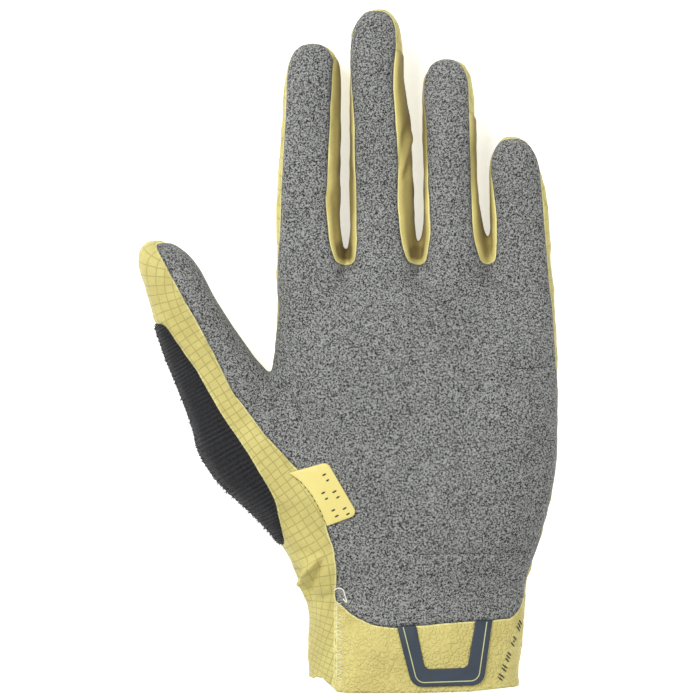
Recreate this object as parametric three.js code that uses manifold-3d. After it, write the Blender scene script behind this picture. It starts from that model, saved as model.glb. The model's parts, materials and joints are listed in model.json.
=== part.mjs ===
import * as THREE from 'three';
import { mergeVertices } from 'three/addons/utils/BufferGeometryUtils.js';
import Module from 'manifold-3d';

// A long-finger cycling glove for the left hand, lying on its back with the palm up.
// X runs across the palm from the thumb to the little finger, Y from the cuff to the fingertips, and Z up
// from the surface that the glove lies on. Lengths are in millimetres.

const wasm = await Module();
wasm.setup();

// Lengths along the hand
const cuffLength = 25;
const palmLength = 125;
const indexLength = 78;
const middleLength = 90;
const ringLength = 72.5;
const littleLength = 52.5;
const thumbLength = 126;

// Widths and heights of the filled glove
const palmWidth = 98;
const indexWidth = 20.5;
const middleWidth = 20.5;
const ringWidth = 19;
const littleWidth = 20.5;
const thumbWidth = 30;
const palmThickness = 31;
const fingerThickness = 18.5;
const thumbThickness = 23;
const fingerCurl = 5;
const thumbLift = 6;

// Cloth
const palmWall = 1.4;
const backWall = 1.2;
const gussetWall = 1;
const wipeWall = 1.6;
const cuffWall = 1.6;
const wipeProud = 0.5;
const seamGap = 0.3;

// Rubber pieces on the outside
const labelLength = 21.5;
const labelWidth = 13;
const labelThickness = 1;
const labelCorner = 2;
const labelTilt = -59;
const bandWidth = 6.4;
const bandThickness = 1.2;
const bandSpan = 33;
const bandReach = 22;
const bandCorner = 4;

// Fineness of the lofts
const handSides = 24;
const digitSides = 12;
const handStep = 7.5;
const digitStep = 10;
const seamStep = 15;
const farOut = 60;

// Roundness of the sections, from 2 for an oval to more for a squarer one, and of the tips seen from above
// and from the side. The domes are shares of a digit's width.
const handSquareness = 2.5;
const digitSquareness = 2.3;
const tipFlatness = 0.8;
const fingerDome = 0.6;
const thumbDome = 0.34;

// Places that follow from the sizes
const crotchY = cuffLength + palmLength;
const handEndY = crotchY - 0.012 * palmLength;

// Hand form, from the cuff's hem to the knuckles. along is a share of the length up to the knuckles,
// width and shift are shares of palmWidth, height of palmThickness, and press of it below the floor.
const handRows = [
  { along: 0, width: 0.67, shift: 0.038, height: 0.86, press: 0.07 },
  { along: 0.05, width: 0.755, shift: -0.014, height: 0.88, press: 0.07 },
  { along: 0.13, width: 0.768, shift: -0.005, height: 0.89, press: 0.07 },
  { along: 0.2, width: 0.775, shift: -0.002, height: 0.86, press: 0.07 },
  { along: 0.26, width: 0.815, shift: -0.016, height: 0.88, press: 0.08 },
  { along: 0.35, width: 0.91, shift: -0.02, height: 0.96, press: 0.1 },
  { along: 0.47, width: 1.0, shift: -0.015, height: 1.02, press: 0.11 },
  { along: 0.6, width: 1.03, shift: -0.012, height: 1.02, press: 0.11 },
  { along: 0.75, width: 1.025, shift: -0.008, height: 0.95, press: 0.11 },
  { along: 0.86, width: 1.005, shift: -0.003, height: 0.84, press: 0.1 },
  { along: 0.93, width: 0.99, shift: -0.004, height: 0.72, press: 0.08 },
  { along: 0.97, width: 0.96, shift: -0.004, height: 0.56, press: 0.06 },
  { along: 1, width: 0.9, shift: -0.004, height: 0.34, press: 0.04 },
];

// Fingers, from inside the hand to the tip. along is a share of the finger's length from its crotch,
// width and shift are shares of its width, height of fingerThickness, lift of fingerCurl. left and right
// are how much of the side cloth shows beside the palm cloth, as shares of the width.
const indexRows = [
  { along: -0.36, width: 1.18, shift: 0.06, height: 1.35, lift: -0.5, left: -0.2, right: 0.05 },
  { along: -0.02, width: 1.22, shift: 0.04, height: 1.16, lift: -0.4, left: -0.1, right: 0.12 },
  { along: 0.08, width: 1.15, shift: 0.01, height: 1.08, lift: -0.35, left: 0.03, right: 0.2 },
  { along: 0.25, width: 1.13, shift: -0.01, height: 1, lift: -0.2, left: 0.08, right: 0.25 },
  { along: 0.45, width: 1.08, shift: 0, height: 0.98, lift: 0.05, left: 0.09, right: 0.21 },
  { along: 0.6, width: 1.04, shift: 0.03, height: 0.95, lift: 0.3, left: 0.07, right: 0.2 },
  { along: 0.75, width: 1, shift: 0.05, height: 0.93, lift: 0.55, left: 0.04, right: 0.2 },
  { along: 0.88, width: 0.96, shift: 0.07, height: 0.9, lift: 0.8, left: 0.02, right: 0.15 },
  { along: 1, width: 0.93, shift: 0.07, height: 0.86, lift: 1, left: 0.02, right: 0.05 },
];
const middleRows = [
  { along: -0.32, width: 1.24, shift: 0.06, height: 1.35, lift: -0.5, left: 0, right: 0 },
  { along: -0.02, width: 1.24, shift: 0.03, height: 1.18, lift: -0.4, left: 0.12, right: 0.12 },
  { along: 0.08, width: 1.14, shift: 0.01, height: 1.08, lift: -0.35, left: 0.12, right: 0.22 },
  { along: 0.27, width: 1.13, shift: 0, height: 1, lift: -0.2, left: 0.13, right: 0.28 },
  { along: 0.42, width: 1.1, shift: -0.01, height: 0.98, lift: 0.05, left: 0.09, right: 0.24 },
  { along: 0.55, width: 1.06, shift: -0.03, height: 0.97, lift: 0.25, left: 0.08, right: 0.26 },
  { along: 0.68, width: 0.98, shift: -0.07, height: 0.95, lift: 0.5, left: 0.03, right: 0.24 },
  { along: 0.82, width: 0.93, shift: -0.09, height: 0.93, lift: 0.75, left: 0.01, right: 0.17 },
  { along: 1, width: 0.88, shift: -0.08, height: 0.86, lift: 1, left: 0.01, right: 0.1 },
];
const ringRows = [
  { along: -0.38, width: 1.32, shift: 0.06, height: 1.35, lift: -0.5, left: 0, right: 0 },
  { along: -0.02, width: 1.36, shift: 0.05, height: 1.12, lift: -0.4, left: 0.1, right: 0.14 },
  { along: 0.1, width: 1.2, shift: 0.03, height: 1.04, lift: -0.35, left: 0.12, right: 0.18 },
  { along: 0.25, width: 1.1, shift: -0.01, height: 0.97, lift: -0.2, left: 0.17, right: 0.22 },
  { along: 0.45, width: 1.03, shift: -0.04, height: 0.94, lift: 0.1, left: 0.08, right: 0.12 },
  { along: 0.65, width: 1.01, shift: -0.05, height: 0.92, lift: 0.45, left: 0.09, right: 0.16 },
  { along: 0.8, width: 0.99, shift: -0.07, height: 0.9, lift: 0.7, left: 0.03, right: 0.14 },
  { along: 1, width: 0.9, shift: -0.1, height: 0.84, lift: 1, left: 0.02, right: 0.06 },
];
const littleRows = [
  { along: -0.42, width: 1.08, shift: -0.01, height: 1.25, lift: -0.5, left: 0, right: 0.02 },
  { along: 0, width: 1.12, shift: 0.02, height: 1.04, lift: -0.4, left: 0.08, right: 0.05 },
  { along: 0.14, width: 1.06, shift: 0.01, height: 0.96, lift: -0.3, left: 0.1, right: 0.07 },
  { along: 0.35, width: 1.02, shift: -0.01, height: 0.9, lift: 0, left: 0.12, right: 0.1 },
  { along: 0.6, width: 0.98, shift: -0.04, height: 0.87, lift: 0.35, left: 0.09, right: 0.07 },
  { along: 0.8, width: 0.9, shift: -0.11, height: 0.84, lift: 0.7, left: 0.04, right: 0.02 },
  { along: 1, width: 0.78, shift: -0.14, height: 0.8, lift: 0.9, left: 0.03, right: 0.02 },
];

// Thumb, from inside the wrist to the tip. along is a share of thumbLength, width of thumbWidth, centre of
// palmWidth, height of thumbThickness, lift of thumbLift. seam is where the palm cloth starts and wipe how
// far the terry patch reaches, as shares of the width from the outer edge.
const thumbRows = [
  { along: -0.06, centre: -0.33, width: 0.34, height: 0.9, lift: -0.5, seam: 0.86, wipe: 0 },
  { along: 0.08, centre: -0.345, width: 0.55, height: 1.08, lift: -0.45, seam: 0.87, wipe: 0 },
  { along: 0.19, centre: -0.395, width: 0.86, height: 1.16, lift: -0.4, seam: 0.83, wipe: 0.1 },
  { along: 0.28, centre: -0.448, width: 1.17, height: 1.2, lift: -0.3, seam: 0.74, wipe: 0.32 },
  { along: 0.38, centre: -0.512, width: 1.43, height: 1.18, lift: -0.1, seam: 0.67, wipe: 0.33 },
  { along: 0.47, centre: -0.566, width: 1.48, height: 1.12, lift: 0.1, seam: 0.53, wipe: 0.28 },
  { along: 0.55, centre: -0.63, width: 1.34, height: 1.04, lift: 0.3, seam: 0.49, wipe: 0.25 },
  { along: 0.63, centre: -0.708, width: 1.1, height: 0.99, lift: 0.5, seam: 0.54, wipe: 0.26 },
  { along: 0.71, centre: -0.767, width: 0.99, height: 0.97, lift: 0.65, seam: 0.59, wipe: 0.26 },
  { along: 0.8, centre: -0.825, width: 0.83, height: 0.95, lift: 0.8, seam: 0.58, wipe: 0.02 },
  { along: 0.9, centre: -0.875, width: 0.74, height: 0.9, lift: 0.95, seam: 0.49, wipe: 0 },
  { along: 1, centre: -0.935, width: 0.62, height: 0.8, lift: 1, seam: 0.44, wipe: 0 },
];

// Folds pressed into the palm side, each along a line from one place to another. x is a share of palmWidth
// from its middle, y of palmLength from the cuff, width and depth are shares of palmThickness.
const folds = [
  { fromX: -0.53, fromY: 0.66, toX: -0.4, toY: 0.53, width: 0.2, depth: 0.08 },
  { fromX: 0.02, fromY: 0.6, toX: -0.06, toY: 0.34, width: 0.75, depth: 0.11 },
  { fromX: -0.28, fromY: 0.07, toX: 0.36, toY: 0.07, width: 0.2, depth: 0.06 },
  { fromX: -0.42, fromY: 0.18, toX: -0.34, toY: 0.08, width: 0.17, depth: -0.04 },
];

// Corners of the grey cloth on the palm, where it isn't bounded by a finger or the thumb. x is a share of
// palmWidth, y of palmLength from the cuff, and out marks a corner past the edge of the hand.
const palmCorners = [
  { x: -0.56, y: 1 },
  { x: -0.53, y: 0.67 },
  { x: -0.42, y: 0.6 },
  { x: -0.36, y: 0.42 },
  { x: -0.32, y: 0.25 },
  { x: -0.295, y: 0.2 },
  { x: -0.288, y: 0.13 },
  { x: -0.294, y: 0.065 },
  { x: -0.234, y: 0.02 },
  { x: -0.152, y: -0.011 },
  { x: -0.084, y: -0.014 },
  { x: 0.188, y: 0.003 },
  { x: 0.328, y: 0.008 },
  { x: 0.36, y: 0.03 },
  { x: 0.388, y: 0.073 },
  { x: 0.6, y: 0.075 },
  { x: 0.6, y: 0.6 },
  { x: 0.497, y: 0.72 },
  { x: 0.482, y: 0.9 },
  { x: 0.4, y: 1 },
];

// Corners of the thumb's side cloth seen from above, down to the cuff's front seam, and of the cuff's front
const thumbCorners = [
  { x: -0.295, y: -0.3 },
  { x: -0.295, y: 0.06 },
  { x: -0.26, y: 0.13 },
  { x: -0.26, y: 0.255 },
  { x: -0.295, y: 0.37 },
  { x: -0.367, y: 0.48 },
  { x: -0.46, y: 0.59 },
  { x: -0.52, y: 0.665 },
  { x: -0.56, y: 0.9 },
  { x: -0.67, y: 1.2 },
  { x: -1.2, y: 1.2 },
  { x: -1.2, y: -0.3 },
];
const cuffCorners = [
  { x: -0.295, y: -0.3 },
  { x: 0.7, y: -0.3 },
  { x: 0.7, y: 0.09 },
  { x: -0.295, y: 0.09 },
];

// Where the terry patch starts and ends, as shares of thumbLength, and the least that shows of it
const wipeStart = 0.155;
const wipeEnd = 0.765;
const wipeLeast = 0.2;

// How far the palm cloth reaches into the hand and stops short of a tip, as shares of a finger's width, and
// where it starts on the thumb and meets the palm, as shares of the palm
const clothRoot = 0.3;
const clothShort = 0.02;
const thumbClothStart = 0.065;
const thumbCrotch = -0.28;

// How far a gusset reaches into the hand, and how short of a fingertip it ends, as a share of its width
const gussetRoot = 6;
const gussetShort = 0.5;

// Middle of the label, and of the band across the cuff, as shares of the palm, and how far the band narrows
const labelPlace = { x: -0.331, y: 0.361 };
const bandAcross = 0.09;
const bandTaper = 0.82;
const bandTuck = 0.05;
const bandInnerCorner = 0.4;

// The sharpest corner that an outline keeps when it is moved outwards
const cornerLimit = 0.3;

// Colours, from the cloth in plain daylight
const suede = { color: 0x7d7d7b, roughness: 0.95, metalness: 0 };
const ripstop = { color: 0xdcd07c, roughness: 0.75, metalness: 0 };
const stretchCloth = { color: 0xd9cb74, roughness: 0.8, metalness: 0 };
const terry = { color: 0x17181a, roughness: 1, metalness: 0 };
const slateRubber = { color: 0x3c4858, roughness: 0.45, metalness: 0 };
const yellowRubber = { color: 0xe6db86, roughness: 0.5, metalness: 0 };

// A value of a table between two of its rows, on a smooth curve through them
function column(rows, along, name) {
  const after = rows.findIndex((row) => row.along >= along);
  if (after === 0) return rows[0][name];
  if (after < 0) return rows[rows.length - 1][name];
  const at = (i) => rows[Math.min(Math.max(i, 0), rows.length - 1)];
  const [a, b, c, d] = [at(after - 2), at(after - 1), at(after), at(after + 1)];
  const t = (along - b.along) / (c.along - b.along);
  const slope = (p, q) => (q.along > p.along ? (q[name] - p[name]) / (q.along - p.along) : 0);
  const span = c.along - b.along;
  const start = span * slope(a, c);
  const end = span * slope(b, d);
  const rise = c[name] - b[name];
  return b[name] + t * start + t * t * (3 * rise - 2 * start - end) + t ** 3 * (start + end - 2 * rise);
}

// How far the folds press a point of the palm side down
function foldDepth(x, y) {
  let depth = 0;
  for (const fold of folds) {
    const from = new THREE.Vector2(fold.fromX * palmWidth, cuffLength + fold.fromY * palmLength);
    const to = new THREE.Vector2(fold.toX * palmWidth, cuffLength + fold.toY * palmLength);
    const line = to.clone().sub(from);
    const share = new THREE.Vector2(x, y).sub(from).dot(line) / line.lengthSq();
    const near = from.clone().addScaledVector(line, THREE.MathUtils.clamp(share, 0, 1));
    const away = near.distanceTo(new THREE.Vector2(x, y)) / (fold.width * palmThickness);
    depth += fold.depth * palmThickness * Math.exp(-away * away);
  }
  return depth;
}

// A closed mesh as a solid that can be joined and cut
function solid(geometry) {
  geometry.deleteAttribute('normal');
  geometry.deleteAttribute('uv');
  const merged = mergeVertices(geometry);
  const vertProperties = new Float32Array(merged.attributes.position.array);
  const triVerts = new Uint32Array(merged.index.array);
  return new wasm.Manifold(new wasm.Mesh({ numProp: 3, vertProperties, triVerts }));
}

function join(solids) {
  return solids.reduce((sum, next) => sum.add(next));
}

// Places along a form for its sections: even steps, then closer ones round a tip of the given length
const tipSteps = [0.45, 0.76, 0.93, 0.992];
function stations(startY, endY, dome, step) {
  const straight = Math.max(2, Math.round((endY - dome - startY) / step));
  const places = [];
  for (let i = 0; i <= straight; i += 1) places.push(startY + ((endY - dome - startY) * i) / straight);
  const round = dome > 0 ? tipSteps.map((share) => endY - dome * (1 - share)) : [];
  return [...places, ...round];
}

// A tube through the sections that sectionAt gives at its places. Each section is a squared oval, grown on
// all sides by grow, pressed flat where it meets the floor and dented by the folds on its palm side.
function loft(places, sectionAt, sides, grow) {
  const steps = places.length - 1;
  const tube = new THREE.CylinderGeometry(1, 1, 1, sides, steps);
  const position = tube.attributes.position;
  for (let i = 0; i < position.count; i += 1) {
    const angle = Math.atan2(position.getZ(i), position.getX(i));
    const radius = Math.hypot(position.getX(i), position.getZ(i)) > 0.5 ? 1 : 0;
    const y = places[Math.round((position.getY(i) + 0.5) * steps)];
    const section = sectionAt(y, grow);
    const power = 2 / section.squareness;
    const across = Math.sign(Math.cos(angle)) * Math.abs(Math.cos(angle)) ** power;
    const up = Math.sign(Math.sin(angle)) * Math.abs(Math.sin(angle)) ** power;
    const x = section.x + radius * across * section.halfWidth;
    let z = section.z + radius * up * section.halfHeight;
    if (up > 0) z -= radius * Math.sqrt(up) * foldDepth(x, y);
    position.setXYZ(i, x, y, Math.max(z, -grow, 0));
  }
  return solid(tube);
}

// The share of its full section that a rounded tip has at a place
function tipRound(y, endY, dome) {
  const share = THREE.MathUtils.clamp((y - endY + dome) / dome, 0, 1);
  return (1 - share ** digitSquareness) ** (1 / digitSquareness);
}

// A finger or the thumb: where it stands and its section at a place along the hand
function digit({ name, rows, rootY, length, width, thickness, lift, dome, crossAt }) {
  const value = (y, key) => column(rows, (y - rootY) / length, key);
  const centre = (y) => crossAt(y, value);
  const startY = rootY + rows[0].along * length;
  const endY = rootY + length;
  const section = (y, grow) => {
    const round = tipRound(y, endY + grow, dome + grow);
    const height = value(y, 'height') * thickness;
    return {
      x: centre(y),
      z: height / 2 + value(y, 'lift') * lift,
      halfWidth: ((value(y, 'width') * width) / 2 + grow) * round,
      halfHeight: (height / 2 + grow) * round ** tipFlatness,
      squareness: digitSquareness,
    };
  };
  const form = (grow) => {
    const places = stations(startY - grow, endY + grow, dome + grow, digitStep);
    return loft(places, section, digitSides, grow);
  };
  return { name, value, centre, width, startY, rootY, endY, section, form };
}

function finger(name, rows, length, width, across, drop) {
  const crossAt = (y, value) => across * palmWidth + value(y, 'shift') * width;
  const rootY = crotchY - drop * palmLength;
  const dome = fingerDome * width;
  return digit({
    name, rows, rootY, length, width, thickness: fingerThickness, lift: fingerCurl, dome, crossAt,
  });
}

const fingers = [
  finger('index', indexRows, indexLength, indexWidth, -0.388, 0),
  finger('middle', middleRows, middleLength, middleWidth, -0.128, 0),
  finger('ring', ringRows, ringLength, ringWidth, 0.125, 0),
  finger('little', littleRows, littleLength, littleWidth, 0.37, 0.06),
];
const thumb = digit({
  name: 'thumb',
  rows: thumbRows,
  rootY: cuffLength + 0.06 * palmLength,
  length: thumbLength,
  width: thumbWidth,
  thickness: thumbThickness,
  lift: thumbLift,
  dome: thumbDome * thumbWidth,
  crossAt: (y, value) => value(y, 'centre') * palmWidth,
});

function handSection(y, grow) {
  const value = (key) => column(handRows, Math.max(y, 0) / handEndY, key);
  const height = value('height') * palmThickness;
  const press = value('press') * palmThickness;
  return {
    x: value('shift') * palmWidth,
    z: (height - press) / 2,
    halfWidth: (value('width') * palmWidth) / 2 + grow,
    halfHeight: (height + press) / 2 + grow,
    squareness: handSquareness,
  };
}

// The whole glove as one filled form, grown by grow. Below zero it is the hollow inside a wall that thick,
// and runs out through the cuff.
function gloveForm(grow) {
  const cuffEnd = grow < 0 ? -handStep : 0;
  const hand = loft(stations(cuffEnd, handEndY + grow, 0, handStep), handSection, handSides, grow);
  return join([hand, ...[...fingers, thumb].map((one) => one.form(grow))]);
}

// An outline moved outwards by grow, corner by corner
function growOutline(points, grow) {
  const turn = THREE.ShapeUtils.area(points) > 0 ? 1 : -1;
  return points.map((point, i) => {
    const before = points[(i + points.length - 1) % points.length];
    const after = points[(i + 1) % points.length];
    const incoming = point.clone().sub(before).normalize();
    const outgoing = after.clone().sub(point).normalize();
    const side = incoming.clone().add(outgoing).normalize();
    const reach = Math.max(side.dot(incoming), cornerLimit);
    return point.clone().add(new THREE.Vector2(side.y, -side.x).multiplyScalar((turn * grow) / reach));
  });
}

// A prism that stands on an outline seen from above, from one height to another
function standing(points, grow, from = -farOut, to = farOut) {
  const shape = new THREE.Shape(growOutline(points, grow));
  const prism = new THREE.ExtrudeGeometry(shape, { depth: to - from, bevelEnabled: false });
  return solid(prism.translate(0, 0, from));
}

// All that lies above a line of places and heights seen from the side
function above(line, grow) {
  const last = line[line.length - 1];
  const points = line.map((point) => new THREE.Vector2(point.y, point.z - grow));
  points.push(new THREE.Vector2(last.y, 3 * farOut), new THREE.Vector2(line[0].y, 3 * farOut));
  const shape = new THREE.Shape(points);
  const prism = new THREE.ExtrudeGeometry(shape, { depth: 8 * farOut, bevelEnabled: false });
  return solid(prism.translate(0, 0, -4 * farOut).rotateX(Math.PI / 2).rotateZ(Math.PI / 2));
}

// Height of the seam between the palm side and the rest, and of the one between the gussets and the back
const palmSeam = [
  { y: -farOut, z: 0.42 * palmThickness },
  { y: 0.6 * crotchY, z: 0.42 * palmThickness },
  { y: crotchY, z: 0.54 * fingerThickness },
  { y: crotchY + middleLength + farOut, z: 0.56 * fingerThickness + fingerCurl },
];
const backSeam = [
  { y: -farOut, z: 0.22 * fingerThickness },
  { y: crotchY, z: 0.22 * fingerThickness },
  { y: crotchY + middleLength, z: 0.25 * fingerThickness + fingerCurl },
];

// Outline points from a table of shares of the palm
function palmPoints(corners) {
  return corners.map(({ x, y }) => new THREE.Vector2(x * palmWidth, cuffLength + y * palmLength));
}

// An outline up one side of a digit and down the other, where sideAt gives x on each side at a place
function digitOutline(places, sideAt) {
  const left = places.map((y) => new THREE.Vector2(sideAt(y, 'left'), y));
  const right = places.map((y) => new THREE.Vector2(sideAt(y, 'right'), y));
  return [...left.reverse(), ...right];
}

// The palm cloth on one finger, between its two side seams
function fingerCloth(one) {
  const lowY = one.rootY - clothRoot * one.width;
  const highY = one.endY - clothShort * one.width;
  const places = stations(lowY, highY, fingerDome * one.width, seamStep);
  return digitOutline(places, (y, side) => {
    const { x, halfWidth } = one.section(y, 0);
    const inward = side === 'left' ? 1 : -1;
    return x + inward * (2 * halfWidth * one.value(y, side) - halfWidth);
  });
}

// The palm cloth on the thumb, from its side seam to past its inner edge
function thumbCloth() {
  const lowY = cuffLength + thumbClothStart * palmLength;
  const highY = thumb.endY - clothShort * thumbWidth;
  const places = stations(lowY, highY, clothRoot * thumbWidth, seamStep);
  return digitOutline(places, (y, side) => {
    const { x, halfWidth } = thumb.section(y, 0);
    const inner = Math.min(x + halfWidth + 0.1 * thumbWidth, thumbCrotch * palmWidth);
    return side === 'left' ? x - halfWidth + 2 * halfWidth * thumb.value(y, 'seam') : inner;
  });
}

// The terry patch, from outside the thumb to its inner edge
function wipePatch() {
  const startY = thumb.rootY + wipeStart * thumbLength;
  const endY = thumb.rootY + wipeEnd * thumbLength;
  return digitOutline(stations(startY, endY, 0, seamStep), (y, side) => {
    const { x, halfWidth } = thumb.section(y, 0);
    const reach = Math.max(2 * halfWidth * thumb.value(y, 'wipe'), wipeLeast);
    return side === 'left' ? x - halfWidth - 0.2 * thumbWidth : x - halfWidth + reach;
  });
}

// The space between the middle lines of two fingers, from inside the hand to short of their tips
function gussetSpace(left, right) {
  const lowY = Math.min(left.rootY, right.rootY) - gussetRoot;
  const line = (one) => {
    const places = stations(lowY, one.endY - gussetShort * one.width, 0, 2 * seamStep);
    return places.map((y) => new THREE.Vector2(one.centre(y), y));
  };
  return [...line(left).reverse(), ...line(right)];
}

// A rectangle with round corners that stands on its middle, turned by an angle in degrees
function roundedRectangle(length, width, corner, middle, turn) {
  const [x, y] = [length / 2 - corner, width / 2 - corner];
  const shape = new THREE.Shape();
  shape.absarc(x, -y, corner, -Math.PI / 2, 0);
  shape.absarc(x, y, corner, 0, Math.PI / 2);
  shape.absarc(-x, y, corner, Math.PI / 2, Math.PI);
  shape.absarc(-x, -y, corner, Math.PI, 1.5 * Math.PI);
  const angle = THREE.MathUtils.degToRad(turn);
  return shape.getPoints(3).map((point) => point.rotateAround(new THREE.Vector2(), angle).add(middle));
}

// The U of the cuff band: its outer edge with round lower corners, less the same figure a band narrower
function bandFigure(inset) {
  const topY = cuffLength + bandTuck * palmLength + 2 * inset;
  const lowY = cuffLength - bandReach + inset;
  const middle = bandAcross * palmWidth;
  const low = bandTaper * bandSpan / 2 - inset;
  const corner = bandCorner - bandInnerCorner * inset;
  const shape = new THREE.Shape();
  shape.moveTo(middle + bandSpan / 2 - inset, topY);
  shape.lineTo(middle - bandSpan / 2 + inset, topY);
  shape.lineTo(middle - low, lowY + corner);
  shape.absarc(middle - low + corner, lowY + corner, corner, Math.PI, 1.5 * Math.PI);
  shape.absarc(middle + low - corner, lowY + corner, corner, -Math.PI / 2, 0);
  return shape.getPoints(4);
}

// The pieces of the shell, each as the space that it fills
const overPalmSeam = (grow) => above(palmSeam, grow);
const palmOutlines = [palmPoints(palmCorners), thumbCloth(), ...fingers.map(fingerCloth)];
const palmSpace = (grow) =>
  join(palmOutlines.map((outline) => standing(outline, grow))).intersect(overPalmSeam(grow));
const wipeSpace = (grow) => standing(wipePatch(), grow);
const gussetSpaces = fingers.slice(1).map((right, i) => {
  const outline = gussetSpace(fingers[i], right);
  return (grow) => standing(outline, grow).intersect(above(backSeam, grow));
});
const thumbSpace = (grow) => standing(palmPoints(thumbCorners), grow);
const cuffSpace = (grow) => standing(palmPoints(cuffCorners), grow).intersect(overPalmSeam(grow));

// The largest body of a cut, without the specks that two seams can leave between them
function mainBody(piece) {
  return piece.decompose().reduce((largest, next) => (next.volume() > largest.volume() ? next : largest));
}

const filled = gloveForm(0);
const hollow = (wall) => gloveForm(-wall);
const layer = (inner, outer) => gloveForm(outer).subtract(gloveForm(inner));

const group = new THREE.Group();
group.name = 'cycling_glove';

function addMesh(name, piece, finish) {
  const mesh = mainBody(piece).getMesh();
  const geometry = new THREE.BufferGeometry();
  geometry.setAttribute('position', new THREE.BufferAttribute(mesh.vertProperties, 3));
  geometry.setIndex(new THREE.BufferAttribute(mesh.triVerts, 1));
  geometry.computeVertexNormals();
  const part = new THREE.Mesh(geometry, new THREE.MeshStandardMaterial(finish));
  part.name = name;
  group.add(part);
}

// Cuts the panels out of the shell one after another, with a seam's gap between each and the rest
let cloth = filled;
function addPanel(name, space, wall, finish) {
  addMesh(name, cloth.subtract(hollow(wall)).intersect(space(0)), finish);
  cloth = cloth.subtract(space(seamGap));
}

addPanel('palm_panel', palmSpace, palmWall, suede);
const wipe = layer(-wipeWall, wipeProud).intersect(wipeSpace(0)).subtract(palmSpace(seamGap));
addMesh('thumb_wipe', wipe, terry);
cloth = cloth.subtract(wipeSpace(seamGap));
fingers.slice(1).forEach((right, i) => {
  addPanel(`gusset_${fingers[i].name}_${right.name}`, gussetSpaces[i], gussetWall, ripstop);
});
addPanel('thumb_side', thumbSpace, backWall, ripstop);
addPanel('cuff_front', cuffSpace, cuffWall, stretchCloth);
addMesh('back_panel', cloth.subtract(hollow(backWall)), ripstop);

const [labelMiddle] = palmPoints([labelPlace]);
const labelOutline = roundedRectangle(labelLength, labelWidth, labelCorner, labelMiddle, labelTilt);
const labelSpace = standing(labelOutline, 0).intersect(overPalmSeam(0));
addMesh('label_tab', layer(seamGap, seamGap + labelThickness).intersect(labelSpace), yellowRubber);

const bandOutline = standing(bandFigure(0), 0).subtract(standing(bandFigure(bandWidth), 0));
const bandSpace = bandOutline.intersect(overPalmSeam(0)).subtract(palmSpace(seamGap));
addMesh('cuff_pull_band', layer(seamGap, seamGap + bandThickness).intersect(bandSpace), slateRubber);

// The origin is the middle of the glove on the surface that it lies on
const box = new THREE.Box3().setFromObject(group);
const middle = box.getCenter(new THREE.Vector3());
group.position.set(-middle.x, -middle.y, -box.min.z);

export default group;
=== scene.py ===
"""A full-finger cycling glove for the left hand, lying on its back with the palm up.

The cloth is one fine skin drawn over the glove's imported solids, cut into its panels along their seams. Rubber
pieces, stitches and loops of terry are set on that skin. Lengths are in metres, and the tables of folds and
stitch lines give places as pixels of the reference view, which looks straight down on the palm.
"""

from __future__ import annotations

import json
import logging
import math
from dataclasses import dataclass, field
from enum import Enum

import bmesh
import bpy
import numpy as np
from mathutils import Matrix, Vector, noise
from mathutils.bvhtree import BVHTree
from mathutils.kdtree import KDTree

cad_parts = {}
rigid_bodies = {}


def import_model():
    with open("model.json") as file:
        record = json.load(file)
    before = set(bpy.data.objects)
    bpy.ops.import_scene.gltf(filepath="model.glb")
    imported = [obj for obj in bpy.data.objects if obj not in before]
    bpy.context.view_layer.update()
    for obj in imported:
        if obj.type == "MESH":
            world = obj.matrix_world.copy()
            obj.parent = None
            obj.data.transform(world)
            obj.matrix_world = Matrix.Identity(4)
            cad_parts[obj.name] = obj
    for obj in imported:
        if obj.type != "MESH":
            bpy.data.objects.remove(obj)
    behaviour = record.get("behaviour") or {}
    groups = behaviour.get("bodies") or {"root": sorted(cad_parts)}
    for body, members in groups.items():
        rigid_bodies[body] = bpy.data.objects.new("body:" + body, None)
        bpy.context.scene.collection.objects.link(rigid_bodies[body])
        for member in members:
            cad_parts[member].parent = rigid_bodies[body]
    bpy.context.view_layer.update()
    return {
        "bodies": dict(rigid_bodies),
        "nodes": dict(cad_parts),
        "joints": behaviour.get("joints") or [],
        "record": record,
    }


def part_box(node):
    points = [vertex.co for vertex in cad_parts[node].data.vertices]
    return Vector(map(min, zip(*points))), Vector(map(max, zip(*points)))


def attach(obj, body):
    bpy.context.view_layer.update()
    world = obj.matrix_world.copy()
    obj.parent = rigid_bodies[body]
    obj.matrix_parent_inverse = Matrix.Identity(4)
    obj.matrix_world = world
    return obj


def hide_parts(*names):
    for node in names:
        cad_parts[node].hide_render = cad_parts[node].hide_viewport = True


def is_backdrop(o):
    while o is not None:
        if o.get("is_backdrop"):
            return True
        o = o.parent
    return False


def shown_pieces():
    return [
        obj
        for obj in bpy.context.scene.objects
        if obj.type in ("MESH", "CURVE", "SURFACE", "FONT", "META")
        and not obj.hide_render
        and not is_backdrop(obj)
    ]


Socket = bpy.types.NodeSocket
Node = bpy.types.Node
Tree = bpy.types.NodeTree
Material = bpy.types.Material
Mesh = bpy.types.Mesh
Piece = bpy.types.Object
BMesh = bmesh.types.BMesh
BMVert = bmesh.types.BMVert
Colour = tuple[float, float, float, float]
Pixel = tuple[float, float]
Pixels = tuple[Pixel, ...]

LOG = logging.getLogger("glove")
MM = 0.001
PIXEL = 0.3509 * MM
ZERO_PIXEL = (347.9, 350.2)
CURVE_STEPS = 24
TABLE_GAP = 0.05 * MM


class Panel(Enum):
    """The cloth panels of the glove, by the name of the solid that each replaces."""

    PALM = "palm_panel"
    BACK = "back_panel"
    GUSSET_A = "gusset_index_middle"
    GUSSET_B = "gusset_middle_ring"
    GUSSET_C = "gusset_ring_little"
    THUMB = "thumb_side"
    WIPE = "thumb_wipe"
    CUFF = "cuff_front"


GUSSETS = (Panel.GUSSET_A, Panel.GUSSET_B, Panel.GUSSET_C)


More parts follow.
